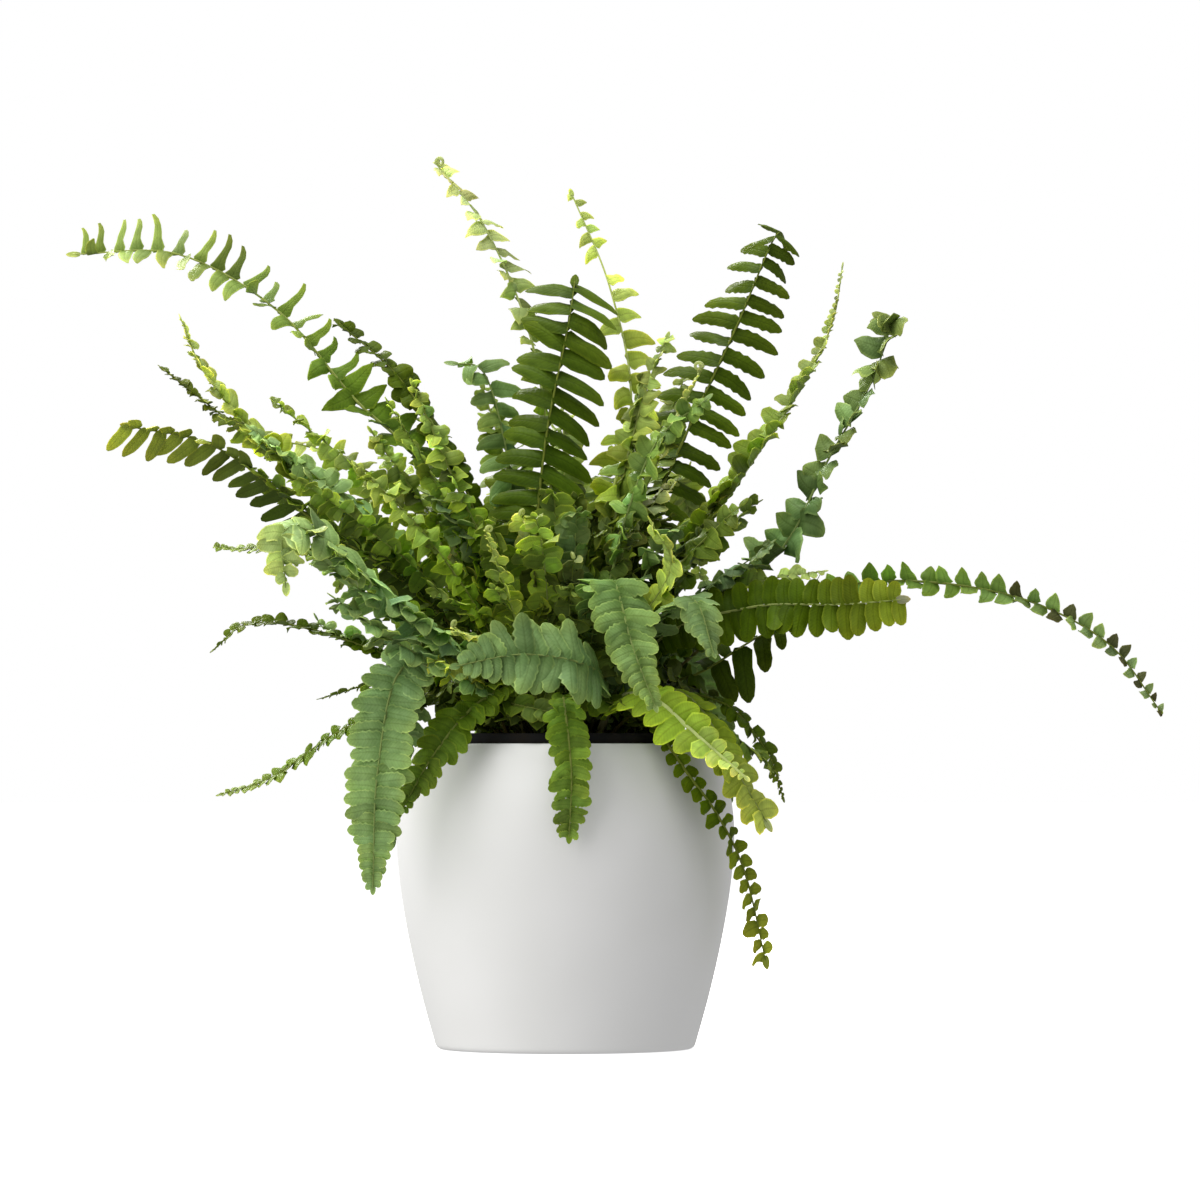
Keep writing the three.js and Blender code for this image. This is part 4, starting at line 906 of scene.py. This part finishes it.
def foot_of(node):
    """Where a solid frond's stalk stands, in millimetres."""
    points = np.array([v.co[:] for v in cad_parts[node].data.vertices]) / MM
    low = points[np.abs(points[:, 2] - STALK_FOOT) < FOOT_DEPTH]
    near = low[np.hypot(low[:, 0], low[:, 1]) < CROWN_REACH]
    return (near.min(axis=0) + near.max(axis=0))[:2] / 2


def midrib(foot, path):
    """Points along the midrib, their distances from its foot, and its level sideways vector."""
    start = np.array([foot[0], foot[1], SOIL_TOP])
    points = [start] + [np.array(p, float) for p in path]
    before = start - [0, 0, np.linalg.norm(start - points[1])]
    knots = [before] + points + [2 * points[-1] - points[-2]]
    line = []
    for span in range(len(points) - 1):
        p0, p1, p2, p3 = knots[span:span + 4]
        slope_in, slope_out = (p2 - p0) / 2, (p3 - p1) / 2
        a = 2 * (p1 - p2) + slope_in + slope_out
        b = 3 * (p2 - p1) - 2 * slope_in - slope_out
        line += [((a * u + b) * u + slope_in) * u + p1 for u in np.arange(STEPS) / STEPS]
    line = np.array(line + [points[-1]])
    lengths = np.concatenate([[0], np.cumsum(np.linalg.norm(np.diff(line, axis=0), axis=1))])
    heading = (points[-1] - start) * [1, 1, 0]
    heading /= np.linalg.norm(heading)
    return line, lengths, np.array([-heading[1], heading[0], 0])


print("longest midrib:", max(round(midrib((0, 0), f["path"])[1][-1]) for f in all_fronds), "mm")

# %% A place on a midrib


def unit(vector):
    return vector / np.linalg.norm(vector)


def station(rib, share, twist):
    """The place and the three directions of a midrib at a share of its length: along, side and face."""
    line, lengths, level = rib
    wanted = min(max(share, 0.0), 1.0) * lengths[-1]
    i = min(max(int(np.searchsorted(lengths, wanted)), 1), len(line) - 1)
    part = (wanted - lengths[i - 1]) / (lengths[i] - lengths[i - 1])
    point = line[i - 1] + (line[i] - line[i - 1]) * part
    along = unit(line[i] - line[i - 1])
    side = unit(level - along * level.dot(along))
    turn = math.radians(twist[0] + (twist[1] - twist[0]) * share)
    side = side * math.cos(turn) + np.cross(along, side) * math.sin(turn)
    return point, along, side, np.cross(along, side)


# %% [markdown]
# ## Growing a frond
# A growth collects copies of the leaflet shapes and the stalk's tube, and with them what the finish
# needs at each point: where it lies on its leaflet, its own green, and whether it is on the underside.
# An array along a curve would be quicker, but all its copies would be bent alike. Here each copy is bent
# on its own: it curls down along its length, hooks towards the frond's tip, cups across, and hangs a
# little under its own weight.

# %% Greens


def linear(*levels):
    """A colour given as screen levels from 0 to 255, as Blender's linear numbers."""
    shares = np.array(levels) / 255
    return np.where(shares <= 0.04045, shares / 12.92, ((shares + 0.055) / 1.055) ** 2.4)


# Each tone's green low on the frond, in its middle, and at a pale tip.
TONES = {
    "deep": (linear(52, 71, 0), linear(88, 113, 14), linear(176, 186, 84)),
    "mid": (linear(73, 96, 4), linear(117, 148, 38), linear(202, 212, 130)),
    "blue": (linear(97, 127, 52), linear(142, 176, 112), linear(194, 214, 134)),
    "fresh": (linear(102, 126, 8), linear(150, 176, 62), linear(214, 224, 166)),
    "yellow": (linear(120, 146, 24), linear(172, 194, 74), linear(220, 230, 164)),
}
STALK_FOOT_BROWN = linear(74, 50, 26)
STALK_GREEN = linear(128, 132, 66)
SCORCH = linear(74, 46, 30)
print("tones:", *TONES)

# %% Growth


class Growth:
    def __init__(self):
        self.points, self.faces, self.count = [], [], 0
        self.uv, self.green, self.underside = [], [], []

    def add(self, points, faces, uv, green, underside):
        self.points.append(points)
        self.faces += (np.asarray(faces) + self.count).tolist()
        self.count += len(points)
        self.uv.append(uv)
        self.green.append(np.broadcast_to(green, (len(points), 3)))
        self.underside.append(underside)

    def piece(self, name):
        """The piece, with its map in the UV layer, and its green and underside in a colour attribute."""
        piece = new_piece(name, np.vstack(self.points), self.faces)
        mesh = piece.data
        corners = np.empty(len(mesh.loops), np.int32)
        mesh.loops.foreach_get("vertex_index", corners)
        uv = np.vstack(self.uv)[corners].astype(np.float32)
        mesh.uv_layers.new(name="leaf_uv").data.foreach_set("uv", uv.ravel())
        rgba = np.column_stack([np.vstack(self.green), np.concatenate(self.underside)])
        mesh.color_attributes.new("leaf_green", "FLOAT_COLOR", "POINT")
        mesh.color_attributes["leaf_green"].data.foreach_set("color", rgba.astype(np.float32).ravel())
        return piece


# %% Keeping leaflets off the pots
SOIL_REACH = 58  # radius of the soil and the inside of the rims
OVER_SOIL, OVER_RIMS, OFF_WALL = 1.2, 1.0, 1.2  # how far a leaflet stays from each


def keep_off_pots(points):
    """Lifts what would sink into the soil or the rims, and pushes out what would sink into the wall. A
    little of the depth is kept, so that the leaflet isn't pressed quite flat."""
    points = points.copy()
    radius = np.hypot(points[:, 0], points[:, 1])
    low = (radius < SOIL_REACH) & (points[:, 2] < SOIL_TOP + OVER_SOIL)
    points[low, 2] = SOIL_TOP + OVER_SOIL + 0.1 * (points[low, 2] - SOIL_TOP)
    rims = (radius >= SOIL_REACH) & (radius < RIM + 1) & (points[:, 2] < GROW_TOP + OVER_RIMS)
    points[rims, 2] = GROW_TOP + OVER_RIMS + 0.05 * (points[rims, 2] - GROW_TOP)
    for i in np.nonzero((radius >= RIM + 1) & (points[:, 2] < POT_HEIGHT))[0]:
        clear = pot_radius(max(points[i, 2], 0)) + OFF_WALL
        if radius[i] < clear:
            points[i, :2] *= (clear + 0.1 * (radius[i] - clear)) / radius[i]
    return points


# %% Placing one leaflet
BLADE = 0.24  # thickness of a leaflet
ROOT_OFFSET = 0.3  # from the midrib's middle to a leaflet's root
UNEVEN = dict(sweep=4, lift=8, louvre=8, curl=10, hook=0.05, cup=0.06)  # how much each bend varies
WAVE, WAVES = 0.04, 9  # height and closeness of the waves along a leaflet
FRILL, FRILLS = 0.05, 23  # and of the teeth of its edges
ANY_PHASE = 6.3


def leaflet_axes(along, side, face, row, sweep, lift, louvre):
    """The directions of one leaflet: along it, across it towards the frond's tip, and out of its face."""
    sign = 1 - 2 * row
    out = side * sign
    level = out * math.cos(sweep) + along * math.sin(sweep)
    axis = unit(level * math.cos(lift) + face * math.sin(lift))
    across = unit(along - axis * axis.dot(along))
    normal = sign * np.cross(across, axis)
    return (axis, across * math.cos(louvre) - normal * math.sin(louvre),
            normal * math.cos(louvre) + across * math.sin(louvre))


def add_leaflet(growth, look, place, row, shape, length, width, lift, green):
    """Copies one leaflet onto a midrib. Place is the midrib's station there, and row is 0 or 1."""
    point, along, side, face = place
    x, y, z = shape["points"].T

    def uneven(bend):
        return chance.gauss(0, UNEVEN[bend]) * look["ruffle"]

    sweep = math.radians(look["sweep"][row] + uneven("sweep"))
    lift = math.radians(lift + uneven("lift"))
    louvre = math.radians(look["louvre"] + uneven("louvre"))
    axis, across, normal = leaflet_axes(along, side, face, row, sweep, lift, louvre)
    curl = math.radians(look["curl"] + uneven("curl")) + 1e-4
    hook = look["hook"] + uneven("hook")
    reach = length * np.sin(curl * x) / curl
    drop = -length * (1 - np.cos(curl * x)) / curl
    cup = (look["cup"] + uneven("cup")) * width * (2 * y) ** 2 * np.sin(math.pi * np.clip(x, 0, 1))
    wave = WAVE * look["ruffle"] * width * 2 * y * np.sin(x * WAVES + chance.uniform(0, ANY_PHASE))
    on_edge = np.abs(shape["across"]) > 0.9
    frill = 1 + FRILL * np.sin(x * FRILLS + chance.uniform(0, ANY_PHASE)) * on_edge
    sideways = y * width * frill + hook * length * x**2
    height = drop - cup + wave + z * BLADE
    root = point + side * (1 - 2 * row) * ROOT_OFFSET
    points = root + np.outer(reach, axis) + np.outer(sideways, across) + np.outer(height, normal)
    points[:, 2] -= look["sag"] * length * x**2 * math.hypot(axis[0], axis[1])
    faces = shape["faces"] if row else shape["faces"][:, ::-1]
    uv = np.column_stack([x, 0.5 + 0.5 * shape["across"]])
    growth.add(keep_off_pots(points), faces, uv, green, (z < 0).astype(float))


# %% The stalk's tube
TUBE_SIDES = 6
PLAIN_SPOT = (0.22, 0.62)  # a place on the leaflet's map with no vein and no margin


def add_tube(growth, line, radii, greens):
    """A closed tapered tube along a line of points."""
    rings = []
    level = np.array([0.0, 0.0, 1.0])
    for i, point in enumerate(line):
        along = unit(line[min(i + 1, len(line) - 1)] - line[max(i - 1, 0)])
        if abs(along.dot(level)) > 0.95:
            level = np.array([1.0, 0.0, 0.0])
        level = unit(level - along * level.dot(along))
        second = np.cross(along, level)
        for turn in np.arange(TUBE_SIDES) * 2 * math.pi / TUBE_SIDES:
            rings.append(point + radii[i] * (level * math.cos(turn) + second * math.sin(turn)))
    faces = []
    for i in range(len(line) - 1):
        for k in range(TUBE_SIDES):
            a, b = i * TUBE_SIDES + k, i * TUBE_SIDES + (k + 1) % TUBE_SIDES
            faces.append((a, b, b + TUBE_SIDES, a + TUBE_SIDES))
    last = (len(line) - 1) * TUBE_SIDES
    faces += [(0, 3, 2, 1), (0, 5, 4, 3)]
    faces += [(last, last + 1, last + 2, last + 3), (last, last + 3, last + 4, last + 5)]
    count = len(rings)
    greens = np.repeat(greens, TUBE_SIDES, axis=0)
    growth.add(np.array(rings), faces, np.tile(PLAIN_SPOT, (count, 1)), greens, np.zeros(count))


# %% Kind, length and green of a leaflet
LOW_PART = 0.55  # how much of a frond counts as its lower half
TIP_LOSS = 0.86  # how much shorter the last leaflets are
STOUTEST = 0.92  # most that a leaflet's width may be of its length
GREEN_SPREAD, WARMTH_SPREAD = 0.09, 0.016  # how much neighbours differ


def smoothstep(value, low, high):
    t = min(max((value - low) / (high - low), 0.0), 1.0)
    return t * t * (3 - 2 * t)


def leaflet_kind(look, row, share):
    if look["low_kind"] and share < LOW_PART:
        return look["low_kind"]
    return look["kind"] if isinstance(look["kind"], str) else look["kind"][row]


def leaflet_share(look, u):
    """A leaflet's length against the longest ones, at u, its place on the leafy stretch. On the bare
    stalk u is below 0."""
    low = look["low_size"]
    low = low + (1 - low) * smoothstep(u, 0, 0.3) if u > 0 else max(0.3, low + 0.7 * u)
    return low * (1 - TIP_LOSS * smoothstep(u, *look["taper"]))


def leaflet_green(look, share, u):
    """One leaflet's green: browner low on the frond, paler near its tip, scaled by the frond's light,
    which is partly painted light and shade, and never quite its neighbour's."""
    foot_green, green, pale = TONES[look["tone"]]
    browned = smoothstep(share, 0.05, 0.5)
    paling = look["tip"] * smoothstep(u, look["pale_from"], 1.0)
    own = foot_green * (1 - browned) + green * browned
    own = (own * (1 - paling) + pale * paling) * look["tint"] * look["light"]
    own = own * (1 + chance.gauss(0, GREEN_SPREAD) * look["ruffle"])
    warmth = chance.gauss(0, WARMTH_SPREAD) * look["ruffle"]
    own = own * [1 + warmth, 1, 1 - 2 * warmth]
    if chance.random() < look["spots"] * smoothstep(share, 0.55, 0.9) * 0.4:
        own = own * 0.3 + SCORCH * 0.7
    return np.clip(own, 0, 1)


# %% The stalk
RING_STEP, FEWEST_RINGS = 7, 10  # millimetres between the tube's rings, and how few it may have
COIL_TURN, COIL_POINTS = 2.6 * math.pi, 26


def coil_points(place, radius):
    """The coiled end of a young frond: points of a spiral that curls over its own face."""
    point, along, _, face = place
    middle = point + face * radius
    turns = np.linspace(0, COIL_TURN, COIL_POINTS)
    sizes = radius * (1 - 0.7 * turns / turns[-1])
    return [middle - face * size * math.cos(turn) + along * size * math.sin(turn)
            for turn, size in zip(turns[1:], sizes[1:])]


def grow_stalk(growth, rib, look):
    """The stalk and midrib, brown at the foot. A young frond's ends in a coil."""
    line, lengths, _ = rib
    _, green, pale = TONES[look["tone"]]
    rings = max(FEWEST_RINGS, int(lengths[-1] / RING_STEP))
    picks = np.unique(np.linspace(0, len(line) - 1, rings).astype(int))
    shares = lengths[picks] / lengths[-1]
    browning = np.clip(shares * 2.2, 0, 1)[:, None]
    rib_green = (STALK_GREEN * 0.6 + green * 0.4) * (1 - look["rib"]) + pale * look["rib"]
    greens = STALK_FOOT_BROWN * (1 - browning) + rib_green * browning
    radii = list(look["stalk"] * (0.95 - 0.65 * shares))
    # One more ring carries the stalk down into the soil.
    stalk = [np.array([*line[0][:2], STALK_FOOT])] + list(line[picks])
    greens = list(np.vstack([greens[:1], greens]))
    radii = radii[:1] + radii
    if look["coil"]:
        spiral = coil_points(station(rib, 1.0, look["twist"]), look["coil"])
        stalk += spiral
        radii += [look["coil"] * (0.42 - 0.2 * i / len(spiral)) for i in range(len(spiral))]
        greens += [pale * 0.8] * len(spiral)
    add_tube(growth, stalk, radii, greens)


# %% The two rows and the tip
BARE_LENGTH, LEAST_BARE, MOST_BARE = 46, 0.24, 0.42  # the solid frond's bare stalk, in mm and as shares


def grow_rows(growth, rib, look):
    """The two rows of leaflets, closer together where they are shorter."""
    total = rib[1][-1]
    bare = min(MOST_BARE, max(LEAST_BARE, BARE_LENGTH / total))
    last = 1 - min(0.04, look["leaf"] * 0.2 / total)
    share = bare * look["bare"]
    while share < last:
        u = (share - bare) / (last - bare)
        size = leaflet_share(look, u)
        gap = look["pitch"] * (0.35 + 0.65 * size)
        for row in (0, 1):
            if chance.random() < look["missing"]:
                continue
            spot = min(1.0, share + gap / total * (0.4 * row + chance.gauss(0, 0.05)))
            uneven = 1 + chance.gauss(0, 0.05) * look["ruffle"]
            length = look["leaf"] * size * look["rows"][row] * uneven
            broader = 1 + (look["broad_foot"] - 1) * (1 - smoothstep(share, 0.4, 0.7))
            width = min(gap * look["width"] * broader, length * STOUTEST)
            lift = look["fold"][0] + (look["fold"][1] - look["fold"][0]) * share
            place = station(rib, spot, look["twist"])
            shape = leaflets[leaflet_kind(look, row, share)]
            green = leaflet_green(look, share, u)
            add_leaflet(growth, look, place, row, shape, length, width, lift, green)
        share += gap / total


def grow_tuft(growth, rib, look):
    """More leaflets crowded at the tip, each of which leans further towards it."""
    length = look["leaf"] * 0.85
    width = min(look["pitch"] * look["width"], length * STOUTEST)
    place = station(rib, 0.995, look["twist"])
    for k in range(look["tuft"]):
        crowded = dict(look, sweep=(15 + 70 * k / look["tuft"],) * 2)
        shape = leaflets[leaflet_kind(look, k % 2, 1.0)]
        green = leaflet_green(look, 1.0, 1.0)
        add_leaflet(growth, crowded, place, k % 2, shape, length, width, look["fold"][1], green)


def grow_tip(growth, rib, look):
    """The one small leaflet that ends the blade."""
    _, green, pale = TONES[look["tone"]]
    point, along, side, face = station(rib, 0.99, look["twist"])
    shape = leaflets["small"]
    x, y, z = shape["points"].T
    size = min(6.0, max(3.0, look["leaf"] * leaflet_share(look, 1.0)))
    blade = point + np.outer(x * size, along) + np.outer(y * size * 0.6, side)
    blade += np.outer(z * BLADE, -face)
    uv = np.column_stack([x, 0.5 + 0.5 * shape["across"]])
    own = (green * (1 - look["tip"]) + pale * look["tip"]) * look["light"]
    growth.add(blade, shape["faces"], uv, np.clip(own, 0, 1), (z > 0).astype(float))


def grow(growth, rib, look):
    """One whole frond."""
    grow_stalk(growth, rib, look)
    grow_rows(growth, rib, look)
    grow_tuft(growth, rib, look)
    if not look["coil"]:
        grow_tip(growth, rib, look)


# %% [markdown]
# ## Leaf finish
# A fern leaflet has a sunken midvein, fine side veins that lean towards its tip, a paler margin and a
# duller, lighter underside, and light shines through it. The veins could be modelled, but each leaflet
# would need many times its faces. So they are drawn from the leaflet's own map, the green comes from each
# leaflet, and a translucent shader is mixed in for the light behind it. The map also gives painted shade
# in the fold at each leaflet's foot and on the side that its neighbour covers, and a painted highlight
# along the pale margin.

# %% Leaf finish
SIDE_VEINS, VEIN_LEAN = 62.0, -0.16  # how close the side veins are, and how they lean to the tip
MARGIN_AND_SHEEN = (2.35, 1.95, 2.0, 1)  # how many times as bright as the green the margin may be, by its own paleness and a painted highlight
UNDERSIDE = (0.18, 0.24, 0.07, 1)


def leaf_material(name, gloss, glow, margin_and_sheen, depth):
    """Gloss is the roughness, glow the light let through, margin how pale the edges are, in their own
    colour and with a painted highlight, and depth how dark the painted shade at the leaflets' feet is."""
    material, tree, shader, place = new_material(name, IOR=1.45, Specular_IOR_Level=0.09)
    leaf_map = add_node(tree, "UVMap", uv_map="leaf_uv").outputs["UV"]
    uv = add_node(tree, "SeparateXYZ", {"Vector": leaf_map})
    along, across = uv.outputs["X"], uv.outputs["Y"]
    own = add_node(tree, "Attribute", attribute_name="leaf_green")
    edge = math_node(tree, "ABSOLUTE", math_node(tree, "MULTIPLY_ADD", across, 2.0, -1.0))
    midvein = ease(tree, edge, 0.02, 0.14, 1.0, 0.0)
    lean = math_node(tree, "MULTIPLY_ADD", edge, VEIN_LEAN, along)
    ripple = math_node(tree, "SINE", math_node(tree, "MULTIPLY", lean, SIDE_VEINS))
    mottle = noise(tree, place, 260, 4, 0.6)
    patches = noise(tree, place, 45, 2)
    colour = own.outputs["Color"]
    for share, tint in (
        (ease(tree, mottle, 0.3, 0.7, 0.0, 0.35), (0.5, 0.55, 0.4, 1)),
        (ease(tree, patches, 0.4, 0.7, 0.0, 0.3), (1.3, 1.2, 1.0, 1)),
        (ease(tree, ripple, 0.2, 1.0, 0.0, 0.18), (0.55, 0.6, 0.5, 1)),
        (math_node(tree, "MULTIPLY", midvein, 0.35), (0.5, 0.5, 0.35, 1)),
        (ease(tree, along, 0.0, 0.4, depth, 0.0), (0.42, 0.5, 0.3, 1)),  # painted shade where its foot lies in the fold
        (ease(tree, across, 0.0, 0.45, 0.4, 0.0), (0.42, 0.5, 0.3, 1)),  # its neighbour shades this side
        (ease(tree, along, 0.55, 1.0, 0.0, 0.5), (1.45, 1.25, 0.95, 1)),  # lighter and yellower towards its tip
    ):
        colour = blend(tree, share, colour, tint, "MULTIPLY")
    # The pale edge: partly the leaflet's own paler margin, partly a painted highlight along it.
    margin_and_sheen_share = ease(tree, edge, 0.74, 0.94, 0.0, margin_and_sheen)
    colour = blend(tree, margin_and_sheen_share, colour, blend(tree, 1.0, colour, MARGIN_AND_SHEEN, "MULTIPLY"))
    colour = blend(tree, own.outputs["Alpha"], colour, blend(tree, 0.25, colour, UNDERSIDE))
    paint(tree, shader, colour, ease(tree, mottle, 0.3, 0.7, gloss - 0.12, gloss + 0.02))
    sunken = math_node(tree, "MULTIPLY", midvein, -0.9)
    height = math_node(tree, "ADD", math_node(tree, "MULTIPLY", ripple, 0.25), sunken)
    bump(tree, shader, math_node(tree, "ADD", height, mottle), 0.45, 0.00025)
    lit = blend(tree, 1.0, colour, (1.5, 1.45, 1.0, 1), "MULTIPLY")
    through = add_node(tree, "BsdfTranslucent", {"Color": lit})
    both = add_node(tree, "MixShader", {0: glow, 1: shader.outputs["BSDF"], 2: through.outputs["BSDF"]})
    tree.links.new(both.outputs["Shader"], tree.nodes["Material Output"].inputs["Surface"])
    return material


leaf_finish = {
    "deep": leaf_material("leaf_dark_green", 0.5, 0.3, 0.4, 0.6),
    "mid": leaf_material("leaf_middle_green", 0.52, 0.36, 0.5, 0.6),
    "blue": leaf_material("leaf_grey_green", 0.54, 0.3, 0.5, 0.6),
    "fresh": leaf_material("leaf_light_green", 0.54, 0.4, 0.4, 0.35),
    "yellow": leaf_material("leaf_yellow_green", 0.54, 0.42, 0.4, 0.25),
}
print("leaf finishes:", [material.name for material in leaf_finish.values()])

# %% [markdown]
# ## Fronds
# Each frond of the table is grown on its midrib, and stands for its solid. One frond could be grown and
# turned about, but no two of the real ones are alike. Its chance starts from its own name, so that a
# change to one frond leaves the others as they are.

# %% Fronds
LEAF_SLOTS = {tone: f"leaf_{tone}_green" for tone in TONES}
face_total = 0
for look in all_fronds:
    node = "frond_" + look["name"]
    growth = Growth()
    chance.seed(look["name"])
    grow(growth, midrib(foot_of(node), look["path"]), look)
    piece = growth.piece(node + "_leafy")
    piece.data.materials.append(leaf_finish[look["tone"]])
    face_total += finish_piece(piece, LEAF_SLOTS[look["tone"]], node)
print("frond faces:", face_total)

# %% [markdown]
# ## The inside of the bush
# A real crown carries many more fronds than can be told apart: short ones that fill the bush, low ones
# that lie over the rim, and coiled young ones. Listing them all would be long, so they follow a rule:
# each starts from its own place near the crown, heads outwards and ends on a dome over the pot. A few
# more are listed, where the rule leaves the bush too thin. All are gathered in a few pieces by tone.

# %% Kinds of small frond
# Their light holds painted shade: the nested ones deep in the bush are darkest and the outer ones
# lightest.
SMALL_KINDS = {
    "low": dict(count=50, reach=(44, 84), height=(142, 176), leaf=(8, 12), light=(0.6, 1.0),
                tones=("deep", "mid")),
    "nested": dict(count=22, reach=(26, 54), height=(130, 147), leaf=(8, 11), light=(0.5, 0.8),
                   tones=("deep",)),
    "inner": dict(count=46, reach=(14, 66), height=(172, 246), leaf=(7, 11), light=(0.6, 1.2),
                  tones=("deep", "mid", "mid", "blue")),
    "outer": dict(count=26, reach=(62, 104), height=(168, 236), leaf=(8, 11), light=(0.85, 1.3),
                  tones=("mid", "blue", "mid", "fresh")),
    "young": dict(count=8, reach=(20, 70), height=(190, 262), leaf=(7, 10), light=(0.85, 1.1),
                  tones=("fresh", "yellow")),
}
# The listed ones: tone, longest leaflets, light and path.
GAP_FRONDS = [
    ("mid", 9, 1.1, [(-58, -14, 192), (-100, -24, 226), (-142, -32, 258)]),
    ("blue", 8.5, 1.0, [(-56, -6, 196), (-98, -14, 236), (-132, -18, 266)]),
    ("mid", 8.5, 1.2, [(-46, -24, 190), (-84, -34, 226), (-118, -40, 250)]),
    ("blue", 13, 1.2, [(-40, -50, 170), (-74, -74, 190), (-106, -94, 214)]),
    ("blue", 12, 1.1, [(-36, -56, 158), (-70, -80, 176), (-98, -96, 196)]),
    ("mid", 8.5, 1.25, [(-34, -10, 200), (-58, -14, 250), (-78, -16, 284)]),
    ("fresh", 8, 0.7, [(18, 6, 214), (28, 12, 262), (34, 14, 296)]),
    ("deep", 10, 0.8, [(30, 8, 190), (56, 14, 222), (70, 16, 248)]),
    ("yellow", 10, 1.0, [(-56, -4, 200), (-104, -10, 246), (-150, -16, 276)]),
    ("blue", 9.5, 1.15, [(-54, -10, 196), (-96, -20, 240), (-138, -28, 272)]),
    ("fresh", 10, 1.1, [(-50, -2, 206), (-92, -6, 254), (-128, -10, 284)]),
    ("yellow", 9, 1.1, [(-34, -50, 160), (-57, -80, 170)]),
    ("mid", 9, 1.0, [(44, -26, 152), (60, -36, 149), (72, -40, 139), (91, -42, 122)]),
    ("mid", 9, 0.75, [(8, -40, 151), (22, -54, 151), (34, -62, 147)]),
    ("mid", 8.5, 0.7, [(-30, -44, 151), (-18, -56, 150), (-4, -62, 147)]),
]
by_rule = sum(rule["count"] for rule in SMALL_KINDS.values())
print("small fronds:", by_rule, "by rule and", len(GAP_FRONDS), "listed")

# %% Small fronds
FAR_SIDE_SHADE = 0.72  # the right side is darker, because the light comes from the left
FRONT_REACH, LOW_RIGHT_REACH = 0.62, 0.72  # shorter, where the large fronds hang in front
ROUND_FROM = 10  # longer leaflets than this are round ones
growths = {tone: Growth() for tone in TONES}


def small_look(tone, leaf, light, **changes):
    """What is usual for a small frond."""
    turn = chance.uniform(-30, 30)
    look = dict(USUAL, kind="small", tone=tone, leaf=leaf, light=light, twist=(turn, turn), fold=(10, 14))
    look.update(pitch=5.8, ruffle=2.6, curl=26, cup=0.18, stalk=0.7, taper=(0.7, 1.2), tip=0.25)
    return dict(look, **changes)


def grow_small(kind, rule, out, tone):
    """One small frond of a kind, which heads out from the crown."""
    reach, height = chance.uniform(*rule["reach"]), chance.uniform(*rule["height"])
    if out[1] < -0.5:
        reach *= FRONT_REACH
    if height < 190 and out[0] > 0.75:
        reach *= LOW_RIGHT_REACH
    foot = out * chance.uniform(11, 30)
    rise = height - SOIL_TOP
    tip = out * reach + [0, 0, height]
    middle_height = SOIL_TOP + rise * (1.0 if kind == "low" else 0.72)
    middle = foot + (tip - foot) * [0.45, 0.45, 0] + [0, 0, middle_height]
    droop = tip + out * 8 - [0, 0, rise * (0.35 if kind == "low" else 0.0) - 6]
    young = dict(coil=1.7, tip=0.8) if kind == "young" else {}
    shade = FAR_SIDE_SHADE if out[0] > 0.1 else 1.0
    leaf, light = chance.uniform(*rule["leaf"]), chance.uniform(*rule["light"]) * shade
    look = small_look(tone, leaf, light, **young)
    grow(growths[tone], midrib(foot, [middle, tip, droop]), look)


chance.seed("bush")
number = 0
for kind, rule in SMALL_KINDS.items():
    for i in range(rule["count"]):
        number += 1
        heading = number * GOLDEN_ANGLE
        out = np.array([math.cos(heading), math.sin(heading), 0.0])
        grow_small(kind, rule, out, rule["tones"][i % len(rule["tones"])])
for tone, leaf, light, path in GAP_FRONDS:
    foot = unit(np.array(path[0]) * [1, 1, 0]) * 24
    kind = "round" if leaf > ROUND_FROM else "small"
    look = small_look(tone, leaf, light, kind=kind, pitch=5.2, width=1.45)
    grow(growths[tone], midrib(foot, path), look)
for tone, growth in growths.items():
    piece = growth.piece(f"small_fronds_{tone}")
    piece.data.materials.append(leaf_finish[tone])
    print("small fronds", tone, finish_piece(piece, LEAF_SLOTS[tone]), "faces")

# %% Finish
visual_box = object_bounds()
for name, box in (("solid", cad_box), ("dressed", visual_box)):
    print(name, [round(v * 1000, 1) for corner in box for v in corner])
